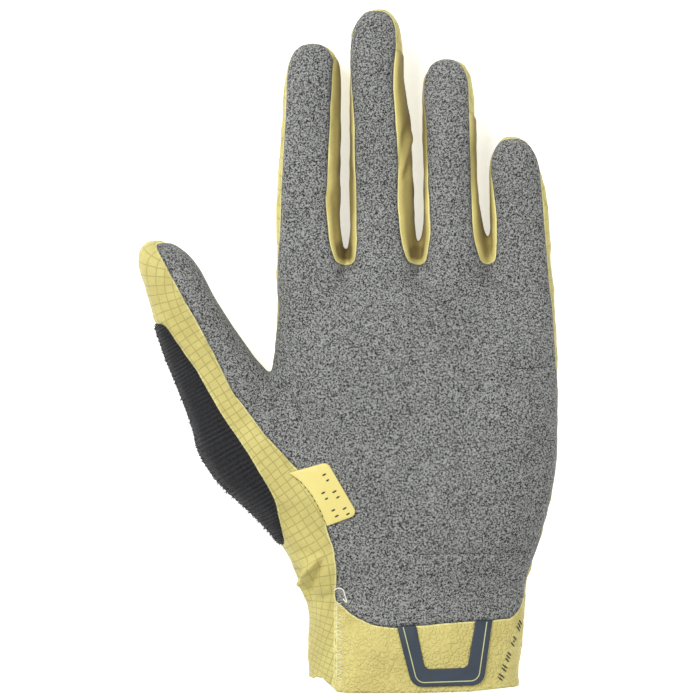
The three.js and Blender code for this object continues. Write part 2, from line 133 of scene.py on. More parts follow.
def photo_point(px: float, py: float, z: float = 0.0) -> Vector:
    """A place in the frame under a pixel of the reference view."""
    return Vector(((px - ZERO_PIXEL[0]) * PIXEL, (ZERO_PIXEL[1] - py) * PIXEL, z))


def smooth_path(points: list[Vector], step: float) -> list[Vector]:
    """Puts evenly spaced points on a smooth curve through a few given ones.

    Args:
        points: The places that the curve goes through.
        step: The distance between the points that come back.

    Returns:
        The points along the curve, with the ends kept.
    """
    fine: list[Vector] = []
    last = len(points) - 1
    for i in range(last):
        before, start = points[max(i - 1, 0)], points[i]
        end, after = points[i + 1], points[min(i + 2, last)]
        for k in range(CURVE_STEPS):
            t = k / CURVE_STEPS
            fine.append(
                0.5
                * (
                    2 * start
                    + (end - before) * t
                    + (2 * before - 5 * start + 4 * end - after) * t**2
                    + (3 * start - before - 3 * end + after) * t**3
                )
            )
    fine.append(points[last].copy())
    lengths = np.cumsum([0.0] + [(b - a).length for a, b in zip(fine, fine[1:])])
    count = max(2, int(round(lengths[-1] / step)) + 1)
    places = np.linspace(0, lengths[-1], count)
    table = np.array(fine)
    return [Vector([np.interp(s, lengths, table[:, k]) for k in range(3)]) for s in places]


def straight_path(points: list[Vector], step: float) -> list[Vector]:
    """Adds points about a step apart along the straight lines between given ones."""
    out = [points[0].copy()]
    for a, b in zip(points, points[1:]):
        count = max(1, round((b - a).length / step))
        out += [a.lerp(b, (k + 1) / count) for k in range(count)]
    return out


class NodeTree:
    """A short way to write shader nodes: each call adds a node and gives back its output."""

    def __init__(self, tree: Tree) -> None:
        """Keeps the tree that the nodes go into."""
        self.tree = tree

    def add(self, kind: str, inputs: dict | None = None, **settings: object) -> Node:
        """Adds one node.

        Args:
            kind: Blender's name for the node.
            inputs: Values or outputs of other nodes, by the name or number of the socket.
            settings: The node's own properties.

        Returns:
            The node.
        """
        node = self.tree.nodes.new(kind)
        for name, value in settings.items():
            setattr(node, name, value)
        for key, value in (inputs or {}).items():
            if isinstance(value, Socket):
                self.tree.links.new(value, node.inputs[key])
            else:
                node.inputs[key].default_value = value
        return node

    def maths(self, operation: str, a: object, b: object = 0.0, clamp: bool = False) -> Socket:
        """A Math node's output, for two numbers or outputs."""
        node = self.add("ShaderNodeMath", {0: a, 1: b}, operation=operation, use_clamp=clamp)
        return node.outputs[0]

    def spread(self, value: object, low: float, high: float) -> Socket:
        """A value spread so that low gives 0 and high gives 1, with smooth ends."""
        node = self.add(
            "ShaderNodeMapRange",
            {"Value": value, "From Min": low, "From Max": high},
            interpolation_type="SMOOTHSTEP",
        )
        return node.outputs["Result"]

    def vector(self, operation: str, a: object, b: object) -> Socket:
        """A Vector Math node's output, for two vectors or outputs."""
        return self.add("ShaderNodeVectorMath", {0: a, 1: b}, operation=operation).outputs[0]

    def mix(self, share: object, a: object, b: object, blend: str = "MIX") -> Socket:
        """A colour between two colours."""
        node = self.add("ShaderNodeMix", {0: share, 6: a, 7: b}, data_type="RGBA", blend_type=blend)
        return node.outputs[2]

    def noise(self, place: object, scale: float, detail: float = 2.0, rough: float = 0.5) -> Socket:
        """Noise at a place, from 0 to 1."""
        inputs = {"Vector": place, "Scale": scale, "Detail": detail, "Roughness": rough}
        return self.add("ShaderNodeTexNoise", inputs).outputs[0]


def new_group(name: str, inputs: dict[str, float], outputs: dict[str, str]) -> tuple[Tree, NodeTree]:
    """Starts a shader node group with named number inputs and outputs.

    Args:
        name: The group's name.
        inputs: Each number input with its first value. A place to read is added as Place.
        outputs: Each output with Float or Color or Vector.

    Returns:
        The group, and its node writer.
    """
    tree = bpy.data.node_groups.new(name, "ShaderNodeTree")
    tree.interface.new_socket("Place", in_out="INPUT", socket_type="NodeSocketVector")
    for key, value in inputs.items():
        socket = tree.interface.new_socket(key, in_out="INPUT", socket_type="NodeSocketFloat")
        socket.default_value = value
    for key, kind in outputs.items():
        tree.interface.new_socket(key, in_out="OUTPUT", socket_type=f"NodeSocket{kind}")
    return tree, NodeTree(tree)


@dataclass
class Effects:
    """The shader node groups that more than one finish uses."""

    fine_nap: float = 2.4
    coarse_share: float = 0.6
    wobble_scale: float = 90.0
    wobble_reach: float = 1.1 * MM
    weft_stretch: float = 0.9
    ridge_edges: tuple[float, float] = (0.43, 0.49)
    thread_relief: float = 0.08
    grain: Tree = field(init=False)
    weave: Tree = field(init=False)
    soil: Tree = field(init=False)

    def __post_init__(self) -> None:
        """Builds the groups."""
        self.grain = self.build_grain()
        self.weave = self.build_weave()
        self.soil = self.build_soil()

    def build_grain(self) -> Tree:
        """Builds the salt-and-pepper nap, with a mask from 0 to 1 and a height.

        Returns:
            The group.
        """
        inputs = {"Scale": 900.0, "Contrast": 0.22}
        tree, n = new_group("nap_grain", inputs, {"Mask": "Float", "Height": "Float"})
        given = n.add("NodeGroupInput")
        place, scale = given.outputs["Place"], given.outputs["Scale"]
        coarse = n.noise(place, 1.0, 3.0, 0.65)
        tree.links.new(scale, coarse.node.inputs["Scale"])
        fine = n.noise(place, 1.0, 1.0, 0.5)
        tree.links.new(n.maths("MULTIPLY", scale, self.fine_nap), fine.node.inputs["Scale"])
        large = n.maths("MULTIPLY", coarse, self.coarse_share)
        both = n.maths("ADD", large, n.maths("MULTIPLY", fine, 1 - self.coarse_share))
        centred = n.maths("SUBTRACT", both, 0.5)
        mask = n.maths("ADD", n.maths("DIVIDE", centred, given.outputs["Contrast"]), 0.5, clamp=True)
        out = n.add("NodeGroupOutput")
        tree.links.new(mask, out.inputs["Mask"])
        tree.links.new(both, out.inputs["Height"])
        return tree

    def build_weave(self) -> Tree:
        """Builds the ripstop, a fine plain weave crossed by thicker threads each Pitch apart.

        Returns:
            The group.
        """
        tree, n = new_group(
            "ripstop_weave",
            {"Pitch": 2.9 * MM, "Thread": 0.45 * MM, "Rise": 0.62},
            {"Lines": "Float", "Height": "Float"},
        )
        given = n.add("NodeGroupInput")
        place = given.outputs["Place"]
        wobble = n.add("ShaderNodeTexNoise", {"Vector": place, "Scale": self.wobble_scale, "Detail": 1.0})
        shift = n.vector("SUBTRACT", wobble.outputs["Color"], (0.5, 0.5, 0.5))
        small = n.add("ShaderNodeVectorMath", {0: shift, "Scale": self.wobble_reach}, operation="SCALE")
        split = n.add("ShaderNodeSeparateXYZ", {0: n.vector("ADD", place, small.outputs[0])})
        ridges = []
        threads = []
        for axis, stretch in (("X", 1.0), ("Y", self.weft_stretch)):
            pitch = n.maths("MULTIPLY", given.outputs["Pitch"], stretch)
            along = n.maths("DIVIDE", split.outputs[axis], pitch)
            wave = n.maths("ABSOLUTE", n.maths("SUBTRACT", n.maths("FRACT", along), 0.5))
            ridges.append(n.spread(wave, *self.ridge_edges))
            turns = n.maths("DIVIDE", split.outputs[axis], given.outputs["Thread"])
            threads.append(n.maths("SINE", n.maths("MULTIPLY", turns, 2 * math.pi)))
        lines = n.maths("MAXIMUM", *ridges)
        cloth = n.maths("MULTIPLY", threads[0], threads[1])
        sunk = n.maths("SUBTRACT", 1.0, n.maths("MULTIPLY", lines, given.outputs["Rise"]))
        height = n.maths("ADD", sunk, n.maths("MULTIPLY", cloth, self.thread_relief))
        out = n.add("NodeGroupOutput")
        tree.links.new(lines, out.inputs["Lines"])
        tree.links.new(height, out.inputs["Height"])
        return tree

    @staticmethod
    def build_soil() -> Tree:
        """Builds a slow change of shade over a piece, from 0 to 1.

        Returns:
            The group.
        """
        tree, n = new_group("slow_shade", {"Scale": 26.0}, {"Mask": "Float"})
        given = n.add("NodeGroupInput")
        cloud = n.noise(given.outputs["Place"], 1.0, 3.0, 0.55)
        tree.links.new(given.outputs["Scale"], cloud.node.inputs["Scale"])
        out = n.add("NodeGroupOutput")
        tree.links.new(n.spread(cloud, 0.3, 0.7), out.inputs["Mask"])
        return tree


WHITE: Colour = (1, 1, 1, 1)
LINE_COLOUR: Colour = (0.3, 0.24, 0.06, 1)
SHADE_COLOUR: Colour = (0.13, 0.088, 0.018, 1)
# Painted highlight: the bright yellow laid along the ripstop seams, where the raised seam edge catches the
# light.
SEAM_HIGHLIGHT_COLOUR: Colour = (0.84, 0.79, 0.36, 1)


@dataclass(frozen=True)
class Finish:
    """What every finish has: its colours, from dark to light, and how rough it is."""

    name: str
    dark: Colour
    light: Colour
    roughness: float = 0.9
    sheen: float = 0.0

    def start(self) -> tuple[Material, NodeTree, Node, Socket]:
        """Makes the material and its shader.

        Returns:
            The material, its node writer, its shader and the object's own coordinates.
        """
        material = bpy.data.materials.new(self.name)
        material.use_nodes = True
        tree = material.node_tree
        tree.nodes.clear()
        n = NodeTree(tree)
        shader = n.add("ShaderNodeBsdfPrincipled")
        shader.inputs["Roughness"].default_value = self.roughness
        shader.inputs["Sheen Weight"].default_value = self.sheen
        shader.inputs["Sheen Roughness"].default_value = 0.4
        out = n.add("ShaderNodeOutputMaterial")
        tree.links.new(shader.outputs[0], out.inputs["Surface"])
        place = n.add("ShaderNodeTexCoord").outputs["Object"]
        return material, n, shader, place

    def group(self, n: NodeTree, tree: Tree, place: object, **values: float) -> Node:
        """Puts an effect's group into a material, with its own values.

        Args:
            n: The material's node writer.
            tree: The group.
            place: The coordinates that it reads.
            values: The group's inputs, by name.

        Returns:
            The group's node.
        """
        node = n.add("ShaderNodeGroup", node_tree=tree)
        n.tree.links.new(place, node.inputs["Place"])
        for key, value in values.items():
            node.inputs[key].default_value = value
        return node

    def bump(self, n: NodeTree, shader: Node, height: object, depth: float, strength: float = 1.0) -> None:
        """Joins a height to the shader through a Bump node."""
        node = n.add("ShaderNodeBump", {"Height": height, "Distance": depth, "Strength": strength})
        n.tree.links.new(node.outputs[0], shader.inputs["Normal"])


@dataclass(frozen=True)
class SuedeFinish(Finish):
    """Grey synthetic suede with a salt-and-pepper nap, with painted shade along its seams."""

    nap_scale: float = 1500.0
    nap_contrast: float = 0.12
    cloud_scale: float = 34.0
    cloud_depth: float = 0.12
    cloud_base: float = 0.94
    edge_width: float = 1.3
    edge_shade: Colour = (0.72, 0.72, 0.72, 1)

    def make(self, effects: Effects) -> Material:
        """Builds the material from the shared effects."""
        material, n, shader, place = self.start()
        grain = self.group(n, effects.grain, place, Scale=self.nap_scale, Contrast=self.nap_contrast)
        cloud = self.group(n, effects.soil, place, Scale=self.cloud_scale)
        colour = n.mix(grain.outputs["Mask"], self.dark, self.light)
        soft = n.maths("MULTIPLY", cloud.outputs["Mask"], self.cloud_depth)
        shade = n.maths("ADD", soft, self.cloud_base)
        grey = n.add("ShaderNodeCombineColor", {0: shade, 1: shade, 2: shade}).outputs[0]
        shaded = n.mix(1.0, colour, grey, "MULTIPLY")
        # Painted shade: within edge_width millimetres of a seam the colour is darkened towards edge_shade,
        # where the pressed-in seam lies in shade.
        seam = n.add("ShaderNodeAttribute", attribute_name="seam").outputs["Fac"]
        edge = n.mix(n.spread(seam, 0.0, self.edge_width), self.edge_shade, WHITE)
        n.tree.links.new(n.mix(1.0, shaded, edge, "MULTIPLY"), shader.inputs["Base Color"])
        self.bump(n, shader, grain.outputs["Height"], 0.5 * MM, 0.55)
        return material


@dataclass(frozen=True)
class RipstopFinish(Finish):
    """Yellow ripstop on the panel's own flat pattern, with a painted highlight along its seams."""

    pitch: float = 2.9 * MM
    lines: float = 0.5
    crinkle: float = 0.0
    cloud_share: float = 0.55
    deepest_shade: float = 0.95
    # How far from a seam the painted highlight reaches, in millimetres, and how strong it is.
    highlight_reach: tuple[float, float] = (0.2, 0.9)
    highlight_share: float = 0.85

    def make(self, effects: Effects) -> Material:
        """Builds the material from the shared effects."""
        material, n, shader, place = self.start()
        flat = n.add("ShaderNodeUVMap", uv_map="pattern").outputs[0]
        weave = self.group(n, effects.weave, flat, Pitch=self.pitch, Rise=self.lines)
        cloud = self.group(n, effects.soil, place, Scale=60.0)
        grain = self.group(n, effects.grain, place, Scale=700.0, Contrast=0.5)
        soft = n.maths("MULTIPLY", cloud.outputs["Mask"], self.cloud_share)
        fine = n.maths("MULTIPLY", grain.outputs["Mask"], 1 - self.cloud_share)
        colour = n.mix(n.maths("ADD", soft, fine), self.dark, self.light)
        lined = n.mix(n.maths("MULTIPLY", weave.outputs["Lines"], self.lines), colour, LINE_COLOUR)
        seam = n.add("ShaderNodeAttribute", attribute_name="seam").outputs["Fac"]
        shade = n.add("ShaderNodeAttribute", attribute_name="shade").outputs["Fac"]
        shaded = n.mix(n.maths("MULTIPLY", shade, self.deepest_shade), lined, SHADE_COLOUR)
        # Painted highlight: close to a seam the colour turns to the bright seam colour.
        near = n.maths("SUBTRACT", 1.0, n.spread(seam, *self.highlight_reach))
        rim = n.maths("MULTIPLY", near, self.highlight_share)
        n.tree.links.new(n.mix(rim, shaded, SEAM_HIGHLIGHT_COLOUR), shader.inputs["Base Color"])
        height = weave.outputs["Height"]
        if self.crinkle:
            pebble = n.maths("MULTIPLY", self.pebbles(n, place), self.crinkle)
            height = n.maths("ADD", n.maths("MULTIPLY", height, 0.2), pebble)
        self.bump(n, shader, height, 0.35 * MM, 0.8)
        return material

    @staticmethod
    def pebbles(n: NodeTree, place: object) -> Socket:
        """The height of the stretch cloth's uneven pebbles, from 0 to 1.

        Args:
            n: The material's node writer.
            place: The object's own coordinates.

        Returns:
            The height.
        """
        bent = n.add("ShaderNodeTexNoise", {"Vector": place, "Scale": 240.0, "Detail": 2.0})
        inputs = {0: bent.outputs["Color"], "Scale": 1.6 * MM}
        moved = n.add("ShaderNodeVectorMath", inputs, operation="SCALE").outputs[0]
        inputs = {"Vector": n.vector("ADD", place, moved), "Scale": 640.0}
        cells = n.add("ShaderNodeTexVoronoi", inputs, feature="DISTANCE_TO_EDGE")
        return n.spread(cells.outputs["Distance"], 0.0, 0.3)


@dataclass(frozen=True)
class TerryFinish(Finish):
    """Black looped terry with fine ribs across the thumb."""

    rib_pitch: float = 1.5 * MM

    def make(self, effects: Effects) -> Material:
        """Builds the material from the shared effects."""
        material, n, shader, place = self.start()
        grain = self.group(n, effects.grain, place, Scale=1500.0, Contrast=0.25)
        flat = n.add("ShaderNodeUVMap", uv_map="pattern").outputs[0]
        across = n.add("ShaderNodeSeparateXYZ", {0: flat}).outputs["Y"]
        ribs = n.maths("SINE", n.maths("MULTIPLY", across, 2 * math.pi / self.rib_pitch))
        nap = n.maths("MULTIPLY", grain.outputs["Mask"], 0.7)
        tone = n.maths("ADD", nap, n.maths("MULTIPLY", ribs, 0.2), clamp=True)
        n.tree.links.new(n.mix(tone, self.dark, self.light), shader.inputs["Base Color"])
        height = n.maths("ADD", n.maths("MULTIPLY", ribs, 0.3), grain.outputs["Height"])
        self.bump(n, shader, height, 0.6 * MM, 0.9)
        return material


@dataclass(frozen=True)
class RubberFinish(Finish):
    """Smooth rubber, faintly mottled."""

    cloud_share: float = 0.6

    def make(self, effects: Effects) -> Material:
        """Builds the material from the shared effects."""
        material, n, shader, place = self.start()
        grain = self.group(n, effects.grain, place, Scale=2200.0, Contrast=0.5)
        cloud = self.group(n, effects.soil, place, Scale=90.0)
        shares = ((cloud, self.cloud_share), (grain, 1 - self.cloud_share))
        parts = [n.maths("MULTIPLY", mask.outputs["Mask"], share) for mask, share in shares]
        n.tree.links.new(n.mix(n.maths("ADD", *parts), self.dark, self.light), shader.inputs["Base Color"])
        self.bump(n, shader, grain.outputs["Height"], 0.08 * MM, 0.5)
        return material


@dataclass(frozen=True)
class ThreadFinish(Finish):
    """Sewing thread, twisted."""

    def make(self, effects: Effects) -> Material:
        """Builds the material from the shared effects."""
        material, n, shader, place = self.start()
        grain = self.group(n, effects.grain, place, Scale=5200.0, Contrast=0.35)
        n.tree.links.new(n.mix(grain.outputs["Mask"], self.dark, self.light), shader.inputs["Base Color"])
        self.bump(n, shader, grain.outputs["Height"], 0.1 * MM, 0.6)
        return material


@dataclass(frozen=True)
class FloorFinish(Finish):
    """The pale surface that the glove lies on, a little lit from below as a studio table is."""

    glow: float = 0.5

    def make(self, effects: Effects) -> Material:
        """Builds the material from the shared effects."""
        material, n, shader, place = self.start()
        cloud = self.group(n, effects.soil, place, Scale=4.0)
        n.tree.links.new(n.mix(cloud.outputs["Mask"], self.dark, self.light), shader.inputs["Base Color"])
        shader.inputs["Emission Color"].default_value = WHITE
        shader.inputs["Emission Strength"].default_value = self.glow
        return material


SUEDE = SuedeFinish("grey_suede", (0.006, 0.006, 0.006, 1), (0.295, 0.3, 0.287, 1), 0.95, 0.06)
RIPSTOP = RipstopFinish(
    "yellow_ripstop", (0.42, 0.36, 0.108, 1), (0.585, 0.52, 0.172, 1), 0.62, 0.05,
)
KNIT = RipstopFinish(
    "yellow_gusset_cloth", (0.46, 0.38, 0.11, 1), (0.6, 0.51, 0.17, 1), 0.8, 0.1, lines=0.12, pitch=1.4 * MM,
)
STRETCH = RipstopFinish(
    "yellow_stretch_cloth", (0.47, 0.4, 0.125, 1), (0.62, 0.545, 0.19, 1), 0.75, 0.05,
    lines=0.05, crinkle=1.0,
)
TERRY = TerryFinish("black_terry", (0.003, 0.003, 0.004, 1), (0.03, 0.031, 0.034, 1), 1.0, 0.08)
SLATE = RubberFinish("slate_rubber", (0.013, 0.024, 0.04, 1), (0.022, 0.036, 0.058, 1), 0.55)
LABEL = RubberFinish("yellow_rubber", (0.65, 0.55, 0.17, 1), (0.7, 0.61, 0.21, 1), 0.5)
INLAY = RubberFinish("pale_rubber_line", (0.44, 0.44, 0.2, 1), (0.55, 0.55, 0.27, 1), 0.5)
DOTS = RubberFinish("dark_rubber_marks", (0.02, 0.022, 0.02, 1), (0.045, 0.048, 0.045, 1), 0.5)
GREY_THREAD = ThreadFinish("grey_thread", (0.008, 0.008, 0.008, 1), (0.04, 0.04, 0.04, 1), 0.8)
YELLOW_THREAD = ThreadFinish("yellow_thread", (0.55, 0.45, 0.14, 1), (0.85, 0.77, 0.36, 1), 0.7)
PALE_THREAD = ThreadFinish("pale_thread", (0.6, 0.58, 0.45, 1), (0.9, 0.88, 0.75, 1), 0.7)
FLOOR = FloorFinish("pale_floor", (0.93, 0.93, 0.93, 1), (0.95, 0.95, 0.95, 1), 0.9)


@dataclass
class Wardrobe:
    """Every material of the scene, made once from its finish."""

    effects: Effects
    made: dict[str, Material] = field(default_factory=dict)

    def material(self, finish: Finish) -> Material:
        """The material of a finish, made when it is first asked for."""
        if finish.name not in self.made:
            self.made[finish.name] = finish.make(self.effects)
        return self.made[finish.name]


def kept_mesh(work: BMesh, name: str) -> Mesh:
    """Writes the working mesh into a new mesh of the file, and frees it."""
    mesh = bpy.data.meshes.new(name)
    work.to_mesh(mesh)
    work.free()
    return mesh


def evaluated_mesh(name: str, data: bpy.types.ID, voxel: float = 0.0) -> Mesh:
    """What a curve or mesh becomes once Blender has worked out its thickness or its remesh.

    Args:
        name: The name of the object that holds it meanwhile.
        data: The curve or mesh.
        voxel: The size of the cells that a mesh is remade from, or 0 for a curve.

    Returns:
        The mesh.
    """
    holder = bpy.data.objects.new(name, data)
    bpy.context.scene.collection.objects.link(holder)
    if voxel:
        remesh = holder.modifiers.new("fine", "REMESH")
        remesh.mode = "VOXEL"
        remesh.voxel_size = voxel
    depsgraph = bpy.context.evaluated_depsgraph_get()
    mesh = bpy.data.meshes.new_from_object(holder.evaluated_get(depsgraph))
    bpy.data.objects.remove(holder)
    return mesh


def numbers_of(rows: bpy.types.bpy_prop_collection, name: str) -> np.ndarray:
    """A whole number of each row of a mesh, such as the vertex of each face corner."""
    found = np.zeros(len(rows), int)
    rows.foreach_get(name, found)
    return found


def places_of(mesh: Mesh) -> np.ndarray:
    """The places of a mesh's vertices, a row for each."""
    found = np.zeros(len(mesh.vertices) * 3)
    mesh.vertices.foreach_get("co", found)
    return found.reshape(-1, 3)


def add_object(name: str, mesh: Mesh, finish: Finish, wardrobe: Wardrobe) -> Piece:
    """Puts a mesh into the scene, smooth and with its material.

    Args:
        name: The piece's name.
        mesh: Its mesh.
        finish: What it is made of.
        wardrobe: Where its material comes from.

    Returns:
        The object.
    """
    mesh.name = name
    mesh.materials.clear()
    mesh.materials.append(wardrobe.material(finish))
    mesh.polygons.foreach_set("use_smooth", [True] * len(mesh.polygons))
    piece = bpy.data.objects.new(name, mesh)
    bpy.context.scene.collection.objects.link(piece)
    return piece


def smooth_ramp(value: np.ndarray, low: float, high: float) -> np.ndarray:
    """Goes from 0 at low to 1 at high, with smooth ends."""
    t = np.clip((value - low) / (high - low), 0, 1)
    return t * t * (3 - 2 * t)


@dataclass(frozen=True)
class Fold:
    """A crease or ridge along a line of the palm side, in pixels, with its width and depth in millimetres."""

    line: Pixels
    width: float
    depth: float
    faded: float = 0.08

    def height(self, places: np.ndarray) -> np.ndarray:
        """How far the fold lifts each place, below zero for a crease.

        Args:
            places: The skin's vertices.

        Returns:
            The lift at each, in metres, which fades out towards the ends of the line.
        """
        best = np.full(len(places), 1e9)
        fade = np.zeros(len(places))
        points = [np.array(photo_point(*p).xy) for p in self.line]
        total = sum(np.linalg.norm(b - a) for a, b in zip(points, points[1:]))
        run = 0.0
        for a, b in zip(points, points[1:]):
            span = b - a
            share = np.clip(((places[:, :2] - a) @ span) / (span @ span), 0, 1)
            away = np.linalg.norm(places[:, :2] - (a + share[:, None] * span), axis=1)
            along = (run + share * np.linalg.norm(span)) / total
            nearer = away < best
            turn = np.clip(along[nearer] * (1 - 2 * self.faded) + self.faded, 0, 1)
            fade[nearer] = np.sin(np.pi * turn) ** 0.5
            best = np.minimum(best, away)
            run += float(np.linalg.norm(span))
        return -self.depth * MM * fade * np.exp(-((best / (self.width * MM)) ** 2))


FOLDS = (
    Fold(((270, 384), (288, 393), (297, 410), (304, 432), (306, 450)), 1.2, 1.0),
    Fold(((272, 383), (288, 378), (306, 371)), 1.6, -0.8),
    Fold(((262, 384), (259, 398), (262, 416)), 2.2, 0.8),
    Fold(((317, 559), (307, 571), (300, 586), (305, 599)), 1.15, -2.6),
    Fold(((286, 562), (294, 569), (303, 577)), 1.1, 2.4),
    Fold(((324, 560), (315, 573), (309, 588), (311, 600)), 1.2, 1.7),
    Fold(((413, 112), (404, 135), (401, 165)), 1.1, 0.9),
    Fold(((414, 128), (408, 145), (404, 168)), 0.9, -0.8),
    Fold(((414, 140), (410, 158), (405, 178)), 1.0, 0.8),
    Fold(((303, 548), (309, 556), (322, 552)), 2.0, 0.8),
    Fold(((310, 592), (320, 600), (334, 592)), 1.4, 0.7),
    Fold(((312, 606), (314, 640), (318, 672)), 2.4, 0.6),
    Fold(((327, 612), (326, 640), (328, 676)), 2.0, -0.5),
    Fold(((367, 471), (381, 504), (394, 540), (410, 553), (460, 553), (516, 552), (534, 547)), 0.9, 0.8),
    Fold(((511, 369), (535, 368), (558, 366)), 0.9, 0.6),
    Fold(((344, 268), (345, 282), (348, 300)), 1.6, 0.5),
    Fold(((418, 272), (418, 288), (416, 306)), 1.6, 0.5),
    Fold(((491, 292), (490, 306), (486, 322)), 1.6, 0.5),
    Fold(((350, 606), (378, 620), (396, 621), (470, 615), (508, 612), (520, 602)), 1.5, -0.6),
)
BULGES = (((214, 478), 15, 2.6), ((200, 452), 7, 0.9))
CROTCHES = ((344, 257), (418, 260), (490, 281))
WIPE_ENDS = ((156, 324), (273, 541))
HEM = ((307, 676), (322, 677), (337, 690.5), (347, 692), (430, 691.5), (474, 690), (520, 685.5))


@dataclass(frozen=True)
class Ripple:
    """Uneven cloth of one fineness, in waves a metre, and height, in millimetres."""

    fineness: float
    height: float

    def at(self, place: Vector, share: float = 1.0) -> float:
        """The lift at a place, in millimetres, for a share of the full height."""
        return self.height * share * noise.noise(place * self.fineness)


GUSSET_RIPPLE = Ripple(170, 0.3)
SIDE_RIPPLES = (Ripple(95, 0.5), Ripple(330, 0.2))
SIDE_PUCKER = Ripple(230, 0.55)
CUFF_RIPPLES = (Ripple(150, 0.45), Ripple(520, 0.3))
PALM_RIPPLE = Ripple(48, 0.6)
PALM_PUCKER = Ripple(240, 0.2)
PLEAT_HEIGHT = 0.75
PLEAT_ACROSS = 260
PLEAT_ALONG = (42, 60)


